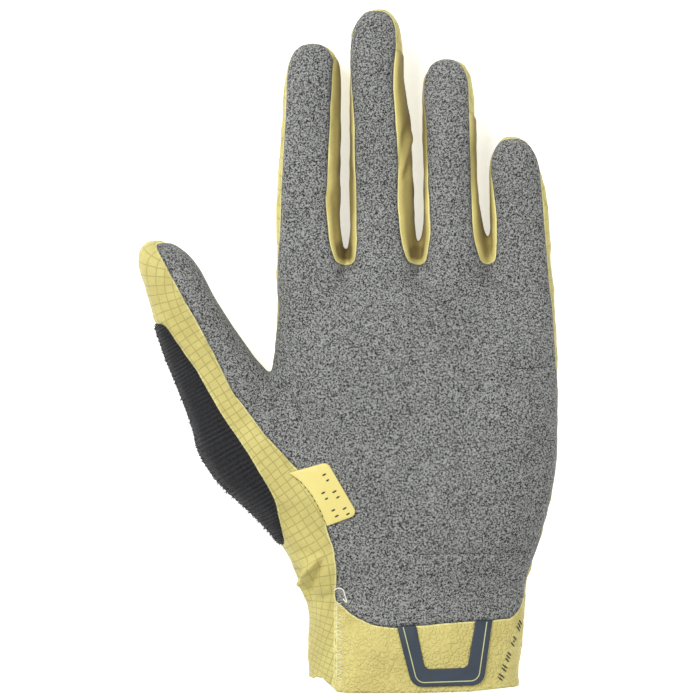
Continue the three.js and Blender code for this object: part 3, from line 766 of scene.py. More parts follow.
@dataclass
class GloveSkin:
    """The outer face of all the cloth as one fine mesh, with the panel of each of its faces.

    The solids are merged, swollen and remade from cells of the size voxel, and smoothed for some rounds. The
    last part above the hem is drawn down ring by ring to the cuff's edge.
    """

    voxel: float = 0.72 * MM
    swell: float = 0.3 * MM
    rounds: int = 30
    refill: float = 0.12 * MM
    hem_band: float = 7.5 * MM
    hem_rings: int = 9
    reach: float = 4 * MM
    rim_tilt: float = 0.37
    rim_band: float = 0.12
    rim_width: float = 1.1 * MM
    even_rounds: int = 8
    speck_rounds: int = 8
    own_vote: float = 1.5
    seam_rounds: int = 14
    relax_rounds: int = 4
    seam_depth: float = 0.42 * MM
    seam_width: float = 1.0 * MM
    quiet_depth: float = 0.16 * MM
    pucker_at: float = 1.6
    pucker_width: float = 1.3
    gusset_shade: tuple[float, float] = (0.62, 0.3)
    pocket_shade: float = 0.8
    pocket_reach: tuple[float, float] = (7 * MM, 1.5 * MM)
    mesh: Mesh = field(init=False)
    owner: np.ndarray = field(init=False)

    def build(self, frame: dict) -> None:
        """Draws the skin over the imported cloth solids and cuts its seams.
        """
        self.hem = min(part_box(panel.value)[0][1] for panel in Panel)
        shell = self.remeshed(frame)
        self.mesh = self.outer_face(shell)
        self.owner = self.panels_of_faces(frame)
        self.straighten_seams()
        self.measure_seams()
        self.shape_folds()

    def remeshed(self, frame: dict) -> Mesh:
        """All cloth solids as one fine closed mesh, swollen so that the seam gaps close.


        Returns:
            The mesh, with the hollow's wall still in it.
        """
        joined = bmesh.new()
        for panel in Panel:
            joined.from_mesh(frame["nodes"][panel.value].data)
        bmesh.ops.remove_doubles(joined, verts=joined.verts, dist=0.001 * MM)
        joined.normal_update()
        for vert in joined.verts:
            vert.co += vert.normal * self.swell
        coarse = kept_mesh(joined, "coarse")
        fine = evaluated_mesh("coarse", coarse, self.voxel)
        bpy.data.meshes.remove(coarse)
        return fine

    def outer_face(self, shell: Mesh) -> Mesh:
        """Opens the shell at the hem, keeps its outer face and smooths away the facets.

        Args:
            shell: The closed mesh, which is removed.

        Returns:
            The open skin.
        """
        cut = bmesh.new()
        cut.from_mesh(shell)
        everything = cut.verts[:] + cut.edges[:] + cut.faces[:]
        above = Vector((0, self.hem + self.hem_band, 0))
        bmesh.ops.bisect_plane(cut, geom=everything, plane_co=above, plane_no=(0, 1, 0), clear_inner=True)
        keep = self.largest_part(cut)
        bmesh.ops.delete(cut, geom=[v for v in cut.verts if v not in keep], context="VERTS")
        for ring in range(self.hem_rings):
            rim = [e for e in cut.edges if e.is_boundary]
            made = bmesh.ops.extrude_edge_only(cut, edges=rim)["geom"]
            left = self.hem_rings - ring
            for vert in (v for v in made if isinstance(v, BMVert)):
                vert.co.y += (self.hem_height(vert.co.x) - vert.co.y) / left
        bmesh.ops.recalc_face_normals(cut, faces=cut.faces)
        inner = [v for v in cut.verts if not v.is_boundary]
        for _ in range(self.rounds):
            self.smooth(cut, inner)
        cut.normal_update()
        for vert in cut.verts:
            height = vert.co.y
            vert.co += vert.normal * (self.refill - self.swell)
            if vert.is_boundary:
                vert.co.y = height
            vert.co.z = max(vert.co.z, TABLE_GAP)
        bpy.data.meshes.remove(shell)
        return kept_mesh(cut, "skin")

    @staticmethod
    def smooth(work: BMesh, verts: list[BMVert]) -> None:
        """Moves some vertices halfway to the middle of their neighbours."""
        bmesh.ops.smooth_vert(
            work, verts=verts, factor=0.5, use_axis_x=True, use_axis_y=True, use_axis_z=True,
        )

    @staticmethod
    def hem_height(x: float) -> float:
        """The height in the view of the cuff's lower edge at a place across it."""
        across = [photo_point(px, 0).x for px, _ in HEM]
        return float(np.interp(x, across, [photo_point(0, py).y for _, py in HEM]))

    @staticmethod
    def largest_part(mesh: BMesh) -> set[BMVert]:
        """Finds the loose part with the widest box.

        Args:
            mesh: The mesh with all its loose parts.

        Returns:
            The part's vertices.
        """
        left = set(mesh.verts)
        best: set[BMVert] = set()
        best_size = -1.0
        while left:
            seed = left.pop()
            part = {seed}
            edge = [seed]
            while edge:
                near = {e.other_vert(v) for v in edge for e in v.link_edges} - part
                part |= near
                edge = list(near)
            left -= part
            places = np.array([v.co for v in part])
            size = float(np.ptp(places, axis=0).sum())
            LOG.info("skin part of %d vertices, %.1f mm", len(part), size / MM)
            if size > best_size:
                best, best_size = part, size
        return best

    def panels_of_faces(self, frame: dict) -> np.ndarray:
        """The number of the panel that each face belongs to.

        The distances from every vertex to each solid are evened out over the skin first, which makes the
        seams run smoothly. The palm counts as further off on steep places, so the yellow shows round it.


        Returns:
            A number for each face, the place of its panel among the panels.
        """
        places, normals = self.places_and_normals()
        away = np.full((len(places), len(Panel)), self.reach)
        for k, panel in enumerate(Panel):
            solid = frame["nodes"][panel.value].data
            corners = [v.co for v in solid.vertices]
            tree = BVHTree.FromPolygons(corners, [tuple(f.vertices) for f in solid.polygons])
            low, high = (np.array(corner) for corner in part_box(panel.value))
            close = np.all((places > low - self.reach) & (places < high + self.reach), axis=1)
            for i in np.flatnonzero(close):
                found = tree.find_nearest(Vector(places[i]), self.reach)
                if found[0] is not None:
                    away[i, k] = found[3]
        steep = 1 - smooth_ramp(normals[:, 2], self.rim_tilt - self.rim_band, self.rim_tilt + self.rim_band)
        away[:, list(Panel).index(Panel.PALM)] += self.rim_width * steep
        pairs = np.array([tuple(e.vertices) for e in self.mesh.edges])
        degree = np.bincount(pairs.ravel(), minlength=len(places))[:, None]
        for _ in range(self.even_rounds):
            total = np.zeros_like(away)
            np.add.at(total, pairs[:, 0], away[pairs[:, 1]])
            np.add.at(total, pairs[:, 1], away[pairs[:, 0]])
            away = 0.5 * away + 0.5 * total / degree
        corners = numbers_of(self.mesh.loops, "vertex_index")
        starts = numbers_of(self.mesh.polygons, "loop_start")
        return self.without_specks(np.add.reduceat(away[corners], starts, axis=0).argmin(axis=1))

    def without_specks(self, owner: np.ndarray) -> np.ndarray:
        """Gives faces with most of their neighbours on another panel to that panel, in a few rounds.

        Args:
            owner: The number of each face's panel.

        Returns:
            The numbers with no lone faces left.
        """
        edges = numbers_of(self.mesh.loops, "edge_index")
        sizes = numbers_of(self.mesh.polygons, "loop_total")
        faces = np.repeat(np.arange(len(sizes)), sizes)
        order = np.argsort(edges, kind="stable")
        same = edges[order][1:] == edges[order][:-1]
        first, second = faces[order][:-1][same], faces[order][1:][same]
        for _ in range(self.speck_rounds):
            votes = np.zeros((len(sizes), len(Panel)))
            np.add.at(votes, (first, owner[second]), 1)
            np.add.at(votes, (second, owner[first]), 1)
            votes[np.arange(len(sizes)), owner] += self.own_vote
            owner = votes.argmax(axis=1)
        return owner

    def straighten_seams(self) -> None:
        """Slides the vertices between two panels along the skin until each seam runs smoothly."""
        work = bmesh.new()
        work.from_mesh(self.mesh)
        work.faces.ensure_lookup_table()
        skin = BVHTree.FromBMesh(work)
        links: dict[BMVert, list[BMVert]] = {}
        for edge in work.edges:
            if len(edge.link_faces) == 2:
                a, b = edge.link_faces
                if self.owner[a.index] != self.owner[b.index]:
                    for vert in edge.verts:
                        links.setdefault(vert, []).append(edge.other_vert(vert))
        line = {v: others for v, others in links.items() if len(others) == 2}
        for _ in range(self.seam_rounds):
            moved = {v: 0.5 * v.co + 0.25 * (o[0].co + o[1].co) for v, o in line.items()}
            for vert, place in moved.items():
                vert.co = place
        for vert in line:
            vert.co = skin.find_nearest(vert.co)[0]
        around = {e.other_vert(v) for v in links for e in v.link_edges} - set(links)
        relaxed = [v for v in around if not v.is_boundary]
        for _ in range(self.relax_rounds):
            self.smooth(work, relaxed)
        for vert in relaxed:
            vert.co = skin.find_nearest(vert.co)[0]
        self.seam_verts = {v.index: {self.owner[f.index] for f in v.link_faces} for v in links}
        work.to_mesh(self.mesh)
        work.free()

    def measure_seams(self) -> None:
        """Stores each vertex's distance from the nearest seam, in millimetres, as the attribute seam."""
        quiet = {list(Panel).index(panel) for panel in (*GUSSETS, Panel.BACK, Panel.THUMB)}
        strong = [i for i, owners in self.seam_verts.items() if owners - quiet]
        weak = [i for i, owners in self.seam_verts.items() if not owners - quiet]
        away, self.quiet_distance = (self.distance_from(indices) for indices in (strong, weak))
        layer = self.mesh.attributes.new("seam", "FLOAT", "POINT")
        layer.data.foreach_set("value", away)
        self.seam_distance = away

    def distance_from(self, indices: list[int]) -> np.ndarray:
        """Each vertex's distance from the nearest of some vertices, in millimetres."""
        tree = KDTree(len(indices))
        for index in indices:
            tree.insert(self.mesh.vertices[index].co, index)
        tree.balance()
        return np.array([tree.find(v.co)[2] for v in self.mesh.vertices]) / MM

    def places_and_normals(self) -> tuple[np.ndarray, np.ndarray]:
        """The skin's vertices and their normals."""
        normals = np.zeros(len(self.mesh.vertices) * 3)
        self.mesh.vertex_normals.foreach_get("vector", normals)
        return places_of(self.mesh), normals.reshape(-1, 3)

    def share_of(self, *panels: Panel) -> np.ndarray:
        """How much of each vertex lies on some panels.

        Args:
            panels: The panels.

        Returns:
            A share for each vertex, from 0 to 1.
        """
        numbers = [list(Panel).index(panel) for panel in panels]
        corners = numbers_of(self.mesh.loops, "vertex_index")
        sizes = numbers_of(self.mesh.polygons, "loop_total")
        inside = np.repeat(np.isin(self.owner, numbers), sizes).astype(float)
        count = len(self.mesh.vertices)
        hits = np.bincount(corners, weights=inside, minlength=count)
        return hits / np.maximum(np.bincount(corners, minlength=count), 1)

    def shape_folds(self) -> None:
        """Presses the seams in and raises the folds, pleats and crinkles of each cloth."""
        places, normals = self.places_and_normals()
        up = smooth_ramp(normals[:, 2], 0.0, 0.4)
        away = self.seam_distance
        lift = -self.seam_depth * np.exp(-((away * MM / self.seam_width) ** 2))
        lift -= self.quiet_depth * np.exp(-((self.quiet_distance * MM / self.seam_width) ** 2))
        for fold in FOLDS:
            lift += up * fold.height(places)
        gusset = self.share_of(*GUSSETS)
        soft = self.share_of(Panel.THUMB, Panel.BACK)
        cuff = self.share_of(Panel.CUFF)
        palm = self.share_of(Panel.PALM)
        for (px, py), reach, rise in BULGES:
            gap = self.distance_to_pixel(places, px, py)
            side = smooth_ramp(-normals[:, 0], -0.1, 0.5)
            lift += rise * MM * side * np.exp(-((gap / (reach * MM)) ** 2))
        off_seam = smooth_ramp(away, 0.0, 1.5)
        pucker = np.exp(-(((away - self.pucker_at) / self.pucker_width) ** 2))
        for i, place in enumerate(places):
            here = Vector(place)
            if gusset[i] > 0:
                x, y, z = place
                along = y * PLEAT_ALONG[0] + z * PLEAT_ALONG[1]
                long = Vector((x * PLEAT_ACROSS, along, z * PLEAT_ACROSS))
                pleat = PLEAT_HEIGHT * noise.noise(long) + GUSSET_RIPPLE.at(here)
                lift[i] += gusset[i] * off_seam[i] * pleat * MM
            if soft[i] > 0:
                cloth = sum(ripple.at(here) for ripple in SIDE_RIPPLES) + SIDE_PUCKER.at(here, pucker[i])
                lift[i] += soft[i] * off_seam[i] * cloth * MM
            if cuff[i] > 0:
                crinkle = sum(ripple.at(here) for ripple in CUFF_RIPPLES)
                lift[i] += cuff[i] * off_seam[i] * crinkle * MM
            if palm[i] > 0:
                lift[i] += palm[i] * (PALM_RIPPLE.at(here) + PALM_PUCKER.at(here, pucker[i])) * MM
        self.store_shade(places, normals, gusset)
        placed = places + normals * lift[:, None]
        placed[:, 2] = np.maximum(placed[:, 2], TABLE_GAP)
        self.mesh.vertices.foreach_set("co", placed.ravel())
        self.mesh.update()

    @staticmethod
    def distance_to_pixel(places: np.ndarray, px: float, py: float) -> np.ndarray:
        """How far each place lies from a pixel of the reference view, in metres."""
        return np.linalg.norm(places[:, :2] - np.array(photo_point(px, py).xy), axis=1)

    def store_shade(self, places: np.ndarray, normals: np.ndarray, gusset: np.ndarray) -> None:
        """Stores how dark the cloth between the fingers is, as the attribute shade.

        Args:
            places: The skin's vertices before the folds.
            normals: Their normals.
            gusset: How much of each lies on a gusset.
        """
        away = self.seam_distance
        top, side = self.gusset_shade
        deep = smooth_ramp(away, 0.6, 3.0) * (top + side * smooth_ramp(-normals[:, 2], -0.6, 0.0))
        far, near = self.pocket_reach
        pocket = np.zeros(len(places))
        for px, py in CROTCHES:
            gap = self.distance_to_pixel(places, px, py)
            pocket = np.maximum(pocket, smooth_ramp(-gap, -far, -near) * smooth_ramp(away, 0.8, 3.0))
        shade = gusset * np.clip(deep + self.pocket_shade * pocket, 0, 1)
        layer = self.mesh.attributes.new("shade", "FLOAT", "POINT")
        layer.data.foreach_set("value", shade)

    def tree(self) -> BVHTree:
        """The skin as a tree to drop points on."""
        work = bmesh.new()
        work.from_mesh(self.mesh)
        found = BVHTree.FromBMesh(work)
        work.free()
        return found


@dataclass
class ClothPanel:
    """One panel of cloth, cut out of the skin, with its wall and its flat pattern."""

    panel: Panel
    finish: Finish
    slot: str
    wall: float
    proud: float = 0.0
    rib_pitch: float = 0.0
    rib_height: float = 0.0
    rib_wander: float = 1.2
    least_fill: float = 0.32
    least_width: float = 10.5 * MM

    def build(self, skin: GloveSkin, wardrobe: Wardrobe) -> Piece:
        """Cuts the panel out, unrolls its pattern and gives it its wall.

        Args:
            skin: The skin that the panel is a part of.
            wardrobe: Where its material comes from.

        Returns:
            The finished piece.
        """
        number = list(Panel).index(self.panel)
        work = bmesh.new()
        work.from_mesh(skin.mesh)
        work.faces.ensure_lookup_table()
        others = [f for f in work.faces if skin.owner[f.index] != number]
        bmesh.ops.delete(work, geom=others, context="FACES")
        work.normal_update()
        for vert in work.verts:
            vert.co += vert.normal * self.proud
        area = sum(f.calc_area() for f in work.faces)
        if self.rib_pitch:
            bmesh.ops.subdivide_edges(work, edges=work.edges, cuts=1, use_grid_fill=True)
            work.normal_update()
            along = (photo_point(*WIPE_ENDS[1]) - photo_point(*WIPE_ENDS[0])).normalized()
            for vert in work.verts:
                turn = 2 * math.pi * vert.co.dot(along) / self.rib_pitch
                turn += self.rib_wander * noise.noise(vert.co * 160)
                vert.co += vert.normal * (self.rib_height * math.sin(turn))
        mesh = kept_mesh(work, self.panel.value)
        piece = add_object(f"cloth_{self.panel.value}", mesh, self.finish, wardrobe)
        flat = self.unroll(piece, area)
        wall = piece.modifiers.new("wall", "SOLIDIFY")
        wall.thickness = self.wall
        wall.offset = -1.0
        wall.use_even_offset = False
        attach(piece, "root")
        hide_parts(self.panel.value)
        if area < self.least_fill * flat[0] * flat[1]:
            flat = self.strip_size(mesh, area)
        wide, long = (side / MM for side in flat)
        LOG.info("%s: %d faces, cut %.0f x %.0f mm", piece.name, len(mesh.polygons), wide, long)
        return piece

    def strip_size(self, mesh: Mesh, area: float) -> tuple[float, float]:
        """Finds the straight strip with a curved strip's area and edge.

        Args:
            mesh: The open sheet.
            area: Its area.

        Returns:
            The width and length of the straight strip.
        """
        uses = np.bincount(numbers_of(mesh.loops, "edge_index"), minlength=len(mesh.edges))
        edge = sum(
            (mesh.vertices[e.vertices[0]].co - mesh.vertices[e.vertices[1]].co).length
            for e in mesh.edges
            if uses[e.index] == 1
        )
        half = edge / 4
        reach = math.sqrt(max(half * half - area, 0.0))
        width = max(half - reach, self.least_width)
        return width, area / width

    def unroll(self, piece: Piece, area: float) -> tuple[float, float]:
        """Unrolls the panel flat into the map pattern, in metres.

        Args:
            piece: The open sheet.
            area: Its area.

        Returns:
            The width and length of the flat cut.
        """
        mesh = piece.data
        mesh.uv_layers.new(name="pattern")
        bpy.context.view_layer.objects.active = piece
        piece.select_set(True)
        bpy.ops.object.mode_set(mode="EDIT")
        bpy.ops.mesh.select_all(action="SELECT")
        bpy.ops.uv.unwrap(method="CONFORMAL", margin=0.0)
        bpy.ops.object.mode_set(mode="OBJECT")
        piece.select_set(False)
        layer = mesh.uv_layers["pattern"].data
        flat = np.zeros(len(layer) * 2)
        layer.foreach_get("uv", flat)
        flat = flat.reshape(-1, 2)
        along = places_of(mesh)[numbers_of(mesh.loops, "vertex_index")][:, 1]
        used = 0.0
        for face in mesh.polygons:
            ring = flat[face.loop_start : face.loop_start + face.loop_total]
            nxt = np.roll(ring, -1, axis=0)
            used += 0.5 * abs(float(np.sum(ring[:, 0] * nxt[:, 1] - nxt[:, 0] * ring[:, 1])))
        flat -= flat.mean(axis=0)
        flat *= math.sqrt(area / max(used, 1e-12))
        slope = np.linalg.lstsq(flat, along - along.mean(), rcond=None)[0]
        angle = math.pi / 2 - math.atan2(slope[1], slope[0])
        spin = np.array([[math.cos(angle), -math.sin(angle)], [math.sin(angle), math.cos(angle)]])
        flat = flat @ spin.T
        layer.foreach_set("uv", flat.ravel())
        size = np.ptp(flat, axis=0)
        return float(size[0]), float(size[1])


class Ground:
    """Finds places on the upper side of the dressed glove, from straight above."""

    above = 0.1

    def __init__(self, tree: BVHTree) -> None:
        """Keeps the tree of the skin."""
        self.tree = tree

    def drop(self, place: Vector) -> tuple[Vector, Vector]:
        """The point and the outward direction under a place, or the place itself off the glove."""
        hit = self.tree.ray_cast(Vector((place.x, place.y, self.above)), Vector((0, 0, -1)))
        if hit[0] is None:
            return place.copy(), Vector((0, 0, 1))
        return hit[0], hit[1]

    def height(self, x: float, y: float, reach: float = 1.5 * MM) -> float:
        """The height of the glove about a place, evened out over its surroundings.

        Args:
            x: The place across the glove.
            y: The place along it.
            reach: How far off the surroundings are read.

        Returns:
            The mean height.
        """
        spots = [(0, 0), (reach, 0), (-reach, 0), (0, reach), (0, -reach)]
        found = [self.drop(Vector((x + dx, y + dy, 0)))[0].z for dx, dy in spots]
        return sum(found) / len(found)


@dataclass
class Sewing:
    """Rows of stitches that lie on the cloth, one small rounded stitch after another."""

    name: str
    lines: tuple[Pixels, ...]
    finish: Finish
    length: float = 1.7 * MM
    gap: float = 0.8 * MM
    radius: float = 0.2 * MM
    lift: float = 0.05 * MM
    zigzag: float = 0.0
    longest_drop: float = 3 * MM

    def build(self, ground: Ground, wardrobe: Wardrobe) -> Piece:
        """Lays the stitches.

        Args:
            ground: Where the cloth is.
            wardrobe: Where the thread's material comes from.

        Returns:
            All the stitches as one piece.
        """
        work = bmesh.new()
        for line in self.lines:
            path = smooth_path([photo_point(*p) for p in line], self.length + self.gap)
            for i, (a, b) in enumerate(zip(path, path[1:])):
                self.stitch(work, ground, a, b, i)
        piece = add_object(self.name, kept_mesh(work, self.name), self.finish, wardrobe)
        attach(piece, "root")
        return piece

    def stitch(self, work: BMesh, ground: Ground, a: Vector, b: Vector, index: int) -> None:
        """Lays one stitch between two places of the row.

        Args:
            work: The mesh that all the stitches go into.
            ground: Where the cloth is.
            a: The row's place before the stitch.
            b: The row's place after it.
            index: The stitch's number, which says the side of a zigzag.
        """
        along = (b - a).normalized()
        side = Vector((-along.y, along.x, 0)) * self.zigzag * (1 if index % 2 else -1)
        share = self.length / (self.length + self.gap)
        middle, normal = ground.drop((a + b) / 2)
        start, _ = ground.drop(a + (1 - share) / 2 * (b - a) - side)
        end, _ = ground.drop(b - (1 - share) / 2 * (b - a) + side)
        span = end - start
        if (middle - (start + end) / 2).length > self.longest_drop:
            return
        turn = span.to_track_quat("X", "Z").to_matrix().to_4x4()
        size = Matrix.Diagonal((span.length / 2, self.radius, self.radius, 1))
        at = Matrix.Translation((start + end) / 2 + normal * self.lift)
        bmesh.ops.create_uvsphere(work, u_segments=6, v_segments=4, radius=1.0, matrix=at @ turn @ size)


@dataclass
class Plate:
    """A thin rubber plate with rounded edges that follows the cloth beneath it."""

    name: str
    node: str
    slot: str
    outline: Pixels
    finish: Finish
    thickness: float
    lift: float
    hole: Pixels = ()
    grid: float = 2.2 * MM
    rounding: float = 0.3 * MM
    weld: float = 0.01 * MM
    flat_angle: float = 0.02
    edge_angle: float = 1.2

    def build(self, ground: Ground, wardrobe: Wardrobe) -> Piece:
        """Cuts the plate from its outline, bends it over the cloth and rounds its edges.

        Args:
            ground: Where the cloth is.
            wardrobe: Where its material comes from.

        Returns:
            The finished piece.
        """
        curve = bpy.data.curves.new(self.name, "CURVE")
        curve.dimensions = "2D"
        curve.fill_mode = "BOTH"
        curve.extrude = self.thickness / 2
        for ring in (self.outline, self.hole):
            if ring:
                spline = curve.splines.new("POLY")
                spline.points.add(len(ring) - 1)
                for point, place in zip(spline.points, ring):
                    point.co = (*photo_point(*place).xy, 0, 1)
                spline.use_cyclic_u = True
        mesh = evaluated_mesh(self.name, curve)
        work = bmesh.new()
        work.from_mesh(mesh)
        bmesh.ops.remove_doubles(work, verts=work.verts, dist=self.weld)
        bmesh.ops.dissolve_limit(work, angle_limit=self.flat_angle, verts=work.verts, edges=work.edges)
        sharp = [e for e in work.edges if len(e.link_faces) == 2 and e.calc_face_angle() > self.edge_angle]
        bmesh.ops.bevel(
            work, geom=sharp, offset=self.rounding, segments=2, profile=0.5, affect="EDGES", material=-1
        )
        self.cut_grid(work)
        for vert in work.verts:
            vert.co.z += ground.height(vert.co.x, vert.co.y) + self.lift
        bmesh.ops.triangulate(work, faces=[f for f in work.faces if len(f.verts) > 4])
        bmesh.ops.recalc_face_normals(work, faces=work.faces)
        work.to_mesh(mesh)
        work.free()
        piece = add_object(self.name, mesh, self.finish, wardrobe)
        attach(piece, "root")
        if self.node:
            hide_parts(self.node)
        return piece

    def cut_grid(self, work: BMesh) -> None:
        """Cuts the plate along a square grid, so that it can bend."""
        places = np.array([v.co for v in work.verts])
        low, high = places.min(axis=0), places.max(axis=0)
        for axis in (0, 1):
            normal = Vector((1, 0, 0)) if axis == 0 else Vector((0, 1, 0))
            for at in np.arange(low[axis] + self.grid / 2, high[axis], self.grid):
                point = Vector((at, 0, 0)) if axis == 0 else Vector((0, at, 0))
                everything = work.verts[:] + work.edges[:] + work.faces[:]
                bmesh.ops.bisect_plane(work, geom=everything, plane_co=point, plane_no=normal)


@dataclass
class Tube:
    """A thin round line laid over the cloth, such as a loop of thread or a line let into a band."""

    name: str
    line: Pixels
    finish: Finish
    radius: float
    lift: float
    slot: str = ""
    smooth: bool = True
    curved_step: float = 0.7 * MM
    straight_step: float = 1.0 * MM

    def build(self, ground: Ground, wardrobe: Wardrobe) -> Piece:
        """Lays the line and gives it its thickness.

        Args:
            ground: Where the cloth is.
            wardrobe: Where its material comes from.

        Returns:
            The finished piece.
        """
        points = [photo_point(*p) for p in self.line]
        way, step = (smooth_path, self.curved_step) if self.smooth else (straight_path, self.straight_step)
        path = way(points, step)
        curve = bpy.data.curves.new(self.name, "CURVE")
        curve.dimensions = "3D"
        curve.bevel_depth = self.radius
        curve.bevel_resolution = 2
        curve.use_fill_caps = True
        spline = curve.splines.new("POLY")
        spline.points.add(len(path) - 1)
        for point, place in zip(spline.points, path):
            point.co = (place.x, place.y, ground.height(place.x, place.y) + self.lift, 1)
        mesh = evaluated_mesh(self.name, curve)
        piece = add_object(self.name, mesh, self.finish, wardrobe)
        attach(piece, "root")
        return piece


def rounded(corners: tuple[tuple[float, float, float], ...], steps: int = 5) -> Pixels:
    """An outline with rounded corners.

    Args:
        corners: Each corner's pixel and the radius there, in pixels.
        steps: The points on each rounded corner, less one.

    Returns:
        The outline's points, in pixels.
    """
    out: list[tuple[float, float]] = []
    count = len(corners)
    for i, (x, y, radius) in enumerate(corners):
        here = Vector((x, y))
        if radius <= 0:
            out.append((x, y))
            continue
        before = (Vector(corners[i - 1][:2]) - here).normalized()
        after = (Vector(corners[(i + 1) % count][:2]) - here).normalized()
        half = before.angle(after) / 2
        reach = radius / math.tan(half)
        centre = here + (before + after).normalized() * (radius / math.sin(half))
        first = here + before * reach - centre
        last = here + after * reach - centre
        for k in range(steps + 1):
            place = first.lerp(last, k / steps)
            out.append(tuple(centre + place.normalized() * radius))
    return tuple(out)


LABEL_OUTLINE = rounded(
    ((289, 472.5, 0), (327.5, 461.5, 7), (358, 514, 6), (327, 525.5, 0), (322, 512, 0), (312, 494, 0),
     (301, 481, 0))
)
BAND_OUTLINE = rounded(
    ((396.8, 625.5, 0), (415.8, 624.5, 0), (424.5, 668, 7), (467, 666.5, 6), (475, 620, 0), (492, 619, 0),
     (483, 684, 13), (412, 686, 14))
)
BAND_LINE = rounded(((403, 626, 0), (417, 681.5, 9), (478, 679.5, 9), (486.5, 621, 0)))


@dataclass
class Marks:
    """A row of plain raised bars, in place of lettering."""

    name: str
    start: tuple[float, float]
    end: tuple[float, float]
    tall: tuple[float, ...]
    finish: Finish
    slot: str
    tilt: float = 0.0
    stroke: float = 0.32 * MM
    lift: float = 0.1 * MM
    rise: float = 0.22 * MM

    def build(self, ground: Ground, wardrobe: Wardrobe) -> Piece:
        """Sets the bars along their line, each as tall as its own entry in millimetres.

        Args:
            ground: Where the cloth is.
            wardrobe: Where their material comes from.

        Returns:
            All the bars as one piece.
        """
        a, b = photo_point(*self.start), photo_point(*self.end)
        along = (b - a).normalized()
        across = Matrix.Rotation(math.radians(90 + self.tilt), 3, "Z") @ along
        work = bmesh.new()
        for k, tall in enumerate(self.tall):
            if tall <= 0:
                continue
            place = a.lerp(b, k / (len(self.tall) - 1))
            spot, normal = ground.drop(place)
            side = (across - normal * across.dot(normal)).normalized()
            turn = side.to_track_quat("X", "Z").to_matrix().to_4x4()
            size = Matrix.Diagonal((tall * MM / 2, self.stroke, self.rise, 1))
            at = Matrix.Translation(spot + normal * self.lift)
            bmesh.ops.create_uvsphere(work, u_segments=8, v_segments=5, radius=1.0, matrix=at @ turn @ size)
        piece = add_object(self.name, kept_mesh(work, self.name), self.finish, wardrobe)
        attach(piece, "root")
        return piece


@dataclass
class Trims:
    """The rubber pieces, the stitches and the marks on the cloth."""

    label_thickness: float = 0.9 * MM
    band_thickness: float = 0.8 * MM

    def build(self, ground: Ground, wardrobe: Wardrobe) -> None:
        """Adds every trim.

        Args:
            ground: Where the cloth is.
            wardrobe: Where the materials come from.
        """
        Plate(
            "label_plate", "label_tab", "yellow_rubber", LABEL_OUTLINE, LABEL,
            self.label_thickness, 0.75 * MM,
        ).build(ground, wardrobe)
        Plate(
            "pull_band", "cuff_pull_band", "slate_rubber", BAND_OUTLINE, SLATE,
            self.band_thickness, 0.5 * MM,
        ).build(ground, wardrobe)
        Tube(
            "band_line", BAND_LINE, INLAY, 0.2 * MM, 0.98 * MM, "yellow_rubber", smooth=False,
        ).build(ground, wardrobe)
        for sewing in SEWING:
            sewing.build(ground, wardrobe)
        Tube(
            "bar_tack_loop", ((334, 590), (338, 587.5), (343, 589), (345, 595), (347, 602), (343, 598)),
            PALE_THREAD, 0.22 * MM, 0.25 * MM,
        ).build(ground, wardrobe)
        bars = (2.6, 3.1, 0, 2.8, 2.6, 0, 2.6, 3.0, 2.5, 0, 0, 2.7, 0.9, 2.8, 0, 0, 3.0, 2.6, 2.4)
        Marks(
            "cuff_marks", (500, 678), (520, 622), bars, DOTS, "slate_rubber", tilt=-14,
        ).build(ground, wardrobe)
        for number, (start, end, tall) in enumerate(
            (((325, 474), (348, 513), (1.6, 1.3, 0, 1.8, 1.5, 0, 1.7, 1.6)),
             ((324, 492), (337, 515), (1.7, 1.4, 0, 1.6, 1.7)))
        ):
            Marks(
                f"label_marks_{number + 1}", start, end, tall, DOTS, "slate_rubber", lift=1.22 * MM,
            ).build(ground, wardrobe)


SEWING = (
    Sewing(
        "palm_stitches",
        (
            ((367, 471), (381, 504), (394, 540), (410, 553), (460, 553), (516, 552), (526, 550)),
            ((511, 369), (535, 368), (553, 366)),
        ),
        GREY_THREAD, 1.3 * MM, 0.7 * MM, 0.2 * MM, 0.24 * MM,
    ),
    Sewing(
        "label_stitches", (((291, 473), (303, 484), (315, 500), (326, 523)),),
        GREY_THREAD, 0.9 * MM, 1.0 * MM, 0.16 * MM, 0.1 * MM,
    ),
    Sewing(
        "cuff_zigzag", (((339.5, 601), (339.5, 650), (339, 687)),),
        PALE_THREAD, 1.35 * MM, 0.02 * MM, 0.13 * MM, 0.08 * MM, zigzag=1.5 * MM,
    ),
    Sewing(
        "cuff_rows", (((335, 598), (335, 650), (335, 688)), ((344.5, 606), (344.5, 650), (344, 688))),
        YELLOW_THREAD, 1.2 * MM, 0.5 * MM, 0.14 * MM,
    ),
)


